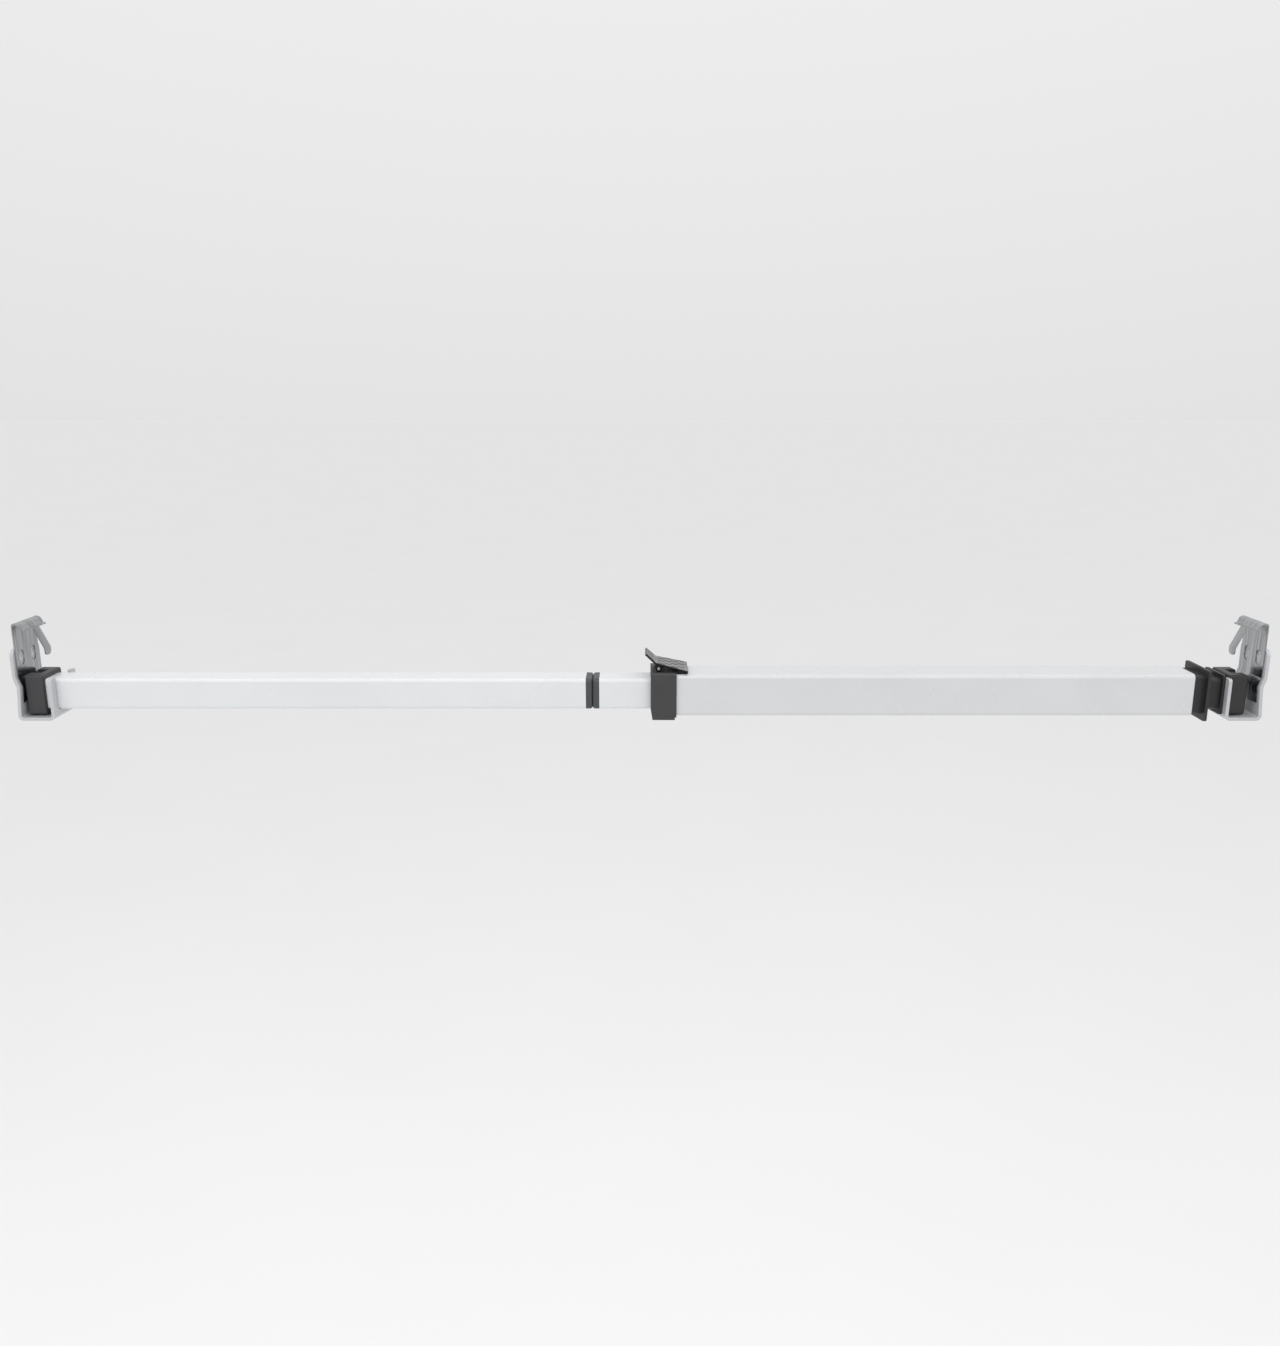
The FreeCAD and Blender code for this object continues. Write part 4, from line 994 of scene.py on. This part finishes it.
# %% Floor
FLOOR_BELOW = 1.1  # metres from the bar down to it
FLOOR_HALF = 60.0  # metres, so that its edge is far off
low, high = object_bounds()
floor_mesh = bpy.data.meshes.new("floor")
around = [(x * FLOOR_HALF, y * FLOOR_HALF) for x, y in ((-1, -1), (1, -1), (1, 1), (-1, 1))]
corners = [(x, y, low[2] - FLOOR_BELOW) for x, y in around]
floor_mesh.from_pydata(corners, [], [(0, 1, 2, 3)])
floor = new_piece("floor", floor_mesh)
paint, tree, place = new_material("pale_floor_paint")
mottle = add(tree, "ShaderNodeTexNoise", {"Vector": place, "Scale": 3.0})
tone = add(
    tree,
    "ShaderNodeMix",
    {"Factor": mottle.outputs["Fac"], "A": colour("#F6F6F6"), "B": colour("#F3F3F3")},
    data_type="RGBA",
)
matt = add(tree, "ShaderNodeBsdfPrincipled", {"Base Color": tone.outputs["Result"], "Roughness": 0.9})
add(tree, "ShaderNodeOutputMaterial", {"Surface": matt.outputs["BSDF"]})
floor_mesh.materials.append(paint)

# %% Light
sky = bpy.data.worlds.new("studio")
sky.use_nodes = True
sky.node_tree.nodes.clear()
direction = add(sky.node_tree, "ShaderNodeTexCoord").outputs["Generated"]
BRIGHT_SIDE = (0.0, 0.3, 0.954)  # towards the window and up
towards = add(sky.node_tree, "ShaderNodeVectorMath", {0: direction, 1: BRIGHT_SIDE}, operation="DOT_PRODUCT")
strength = add(
    sky.node_tree,
    "ShaderNodeMapRange",
    {"Value": towards.outputs["Value"], "From Min": -0.5, "From Max": 0.7, "To Min": 0.58, "To Max": 0.88},
)
glow = add(
    sky.node_tree,
    "ShaderNodeBackground",
    {"Color": colour("#FFFFFF"), "Strength": strength.outputs["Result"]},
)
add(sky.node_tree, "ShaderNodeOutputWorld", {"Surface": glow.outputs["Background"]})
bpy.context.scene.world = sky
bpy.context.scene.view_settings.view_transform = "Standard"


def panel(name, place, towards, size, watts):
    lamp = bpy.data.lights.new(name, "AREA")
    lamp.shape, lamp.size, lamp.size_y, lamp.energy = "RECTANGLE", size[0], size[1], watts
    holder = bpy.data.objects.new(name, lamp)
    holder.location = place
    holder.rotation_euler = (Vector(towards) - Vector(place)).to_track_quat("-Z", "Y").to_euler()
    bpy.context.scene.collection.objects.link(holder)


middle = ((low[0] + high[0]) / 2, (low[1] + high[1]) / 2, (low[2] + high[2]) / 2)
panel("strip_panel", (middle[0], -0.42, 1.9), (middle[0], 0, 0), (3.2, 0.22), 12)
panel("front_panel", (middle[0], -1.7, 0.9), middle, (2.4, 1.0), 12.5)
panel("left_panel", (-0.9, -0.6, 0.6), middle, (0.7, 0.9), 1.5)
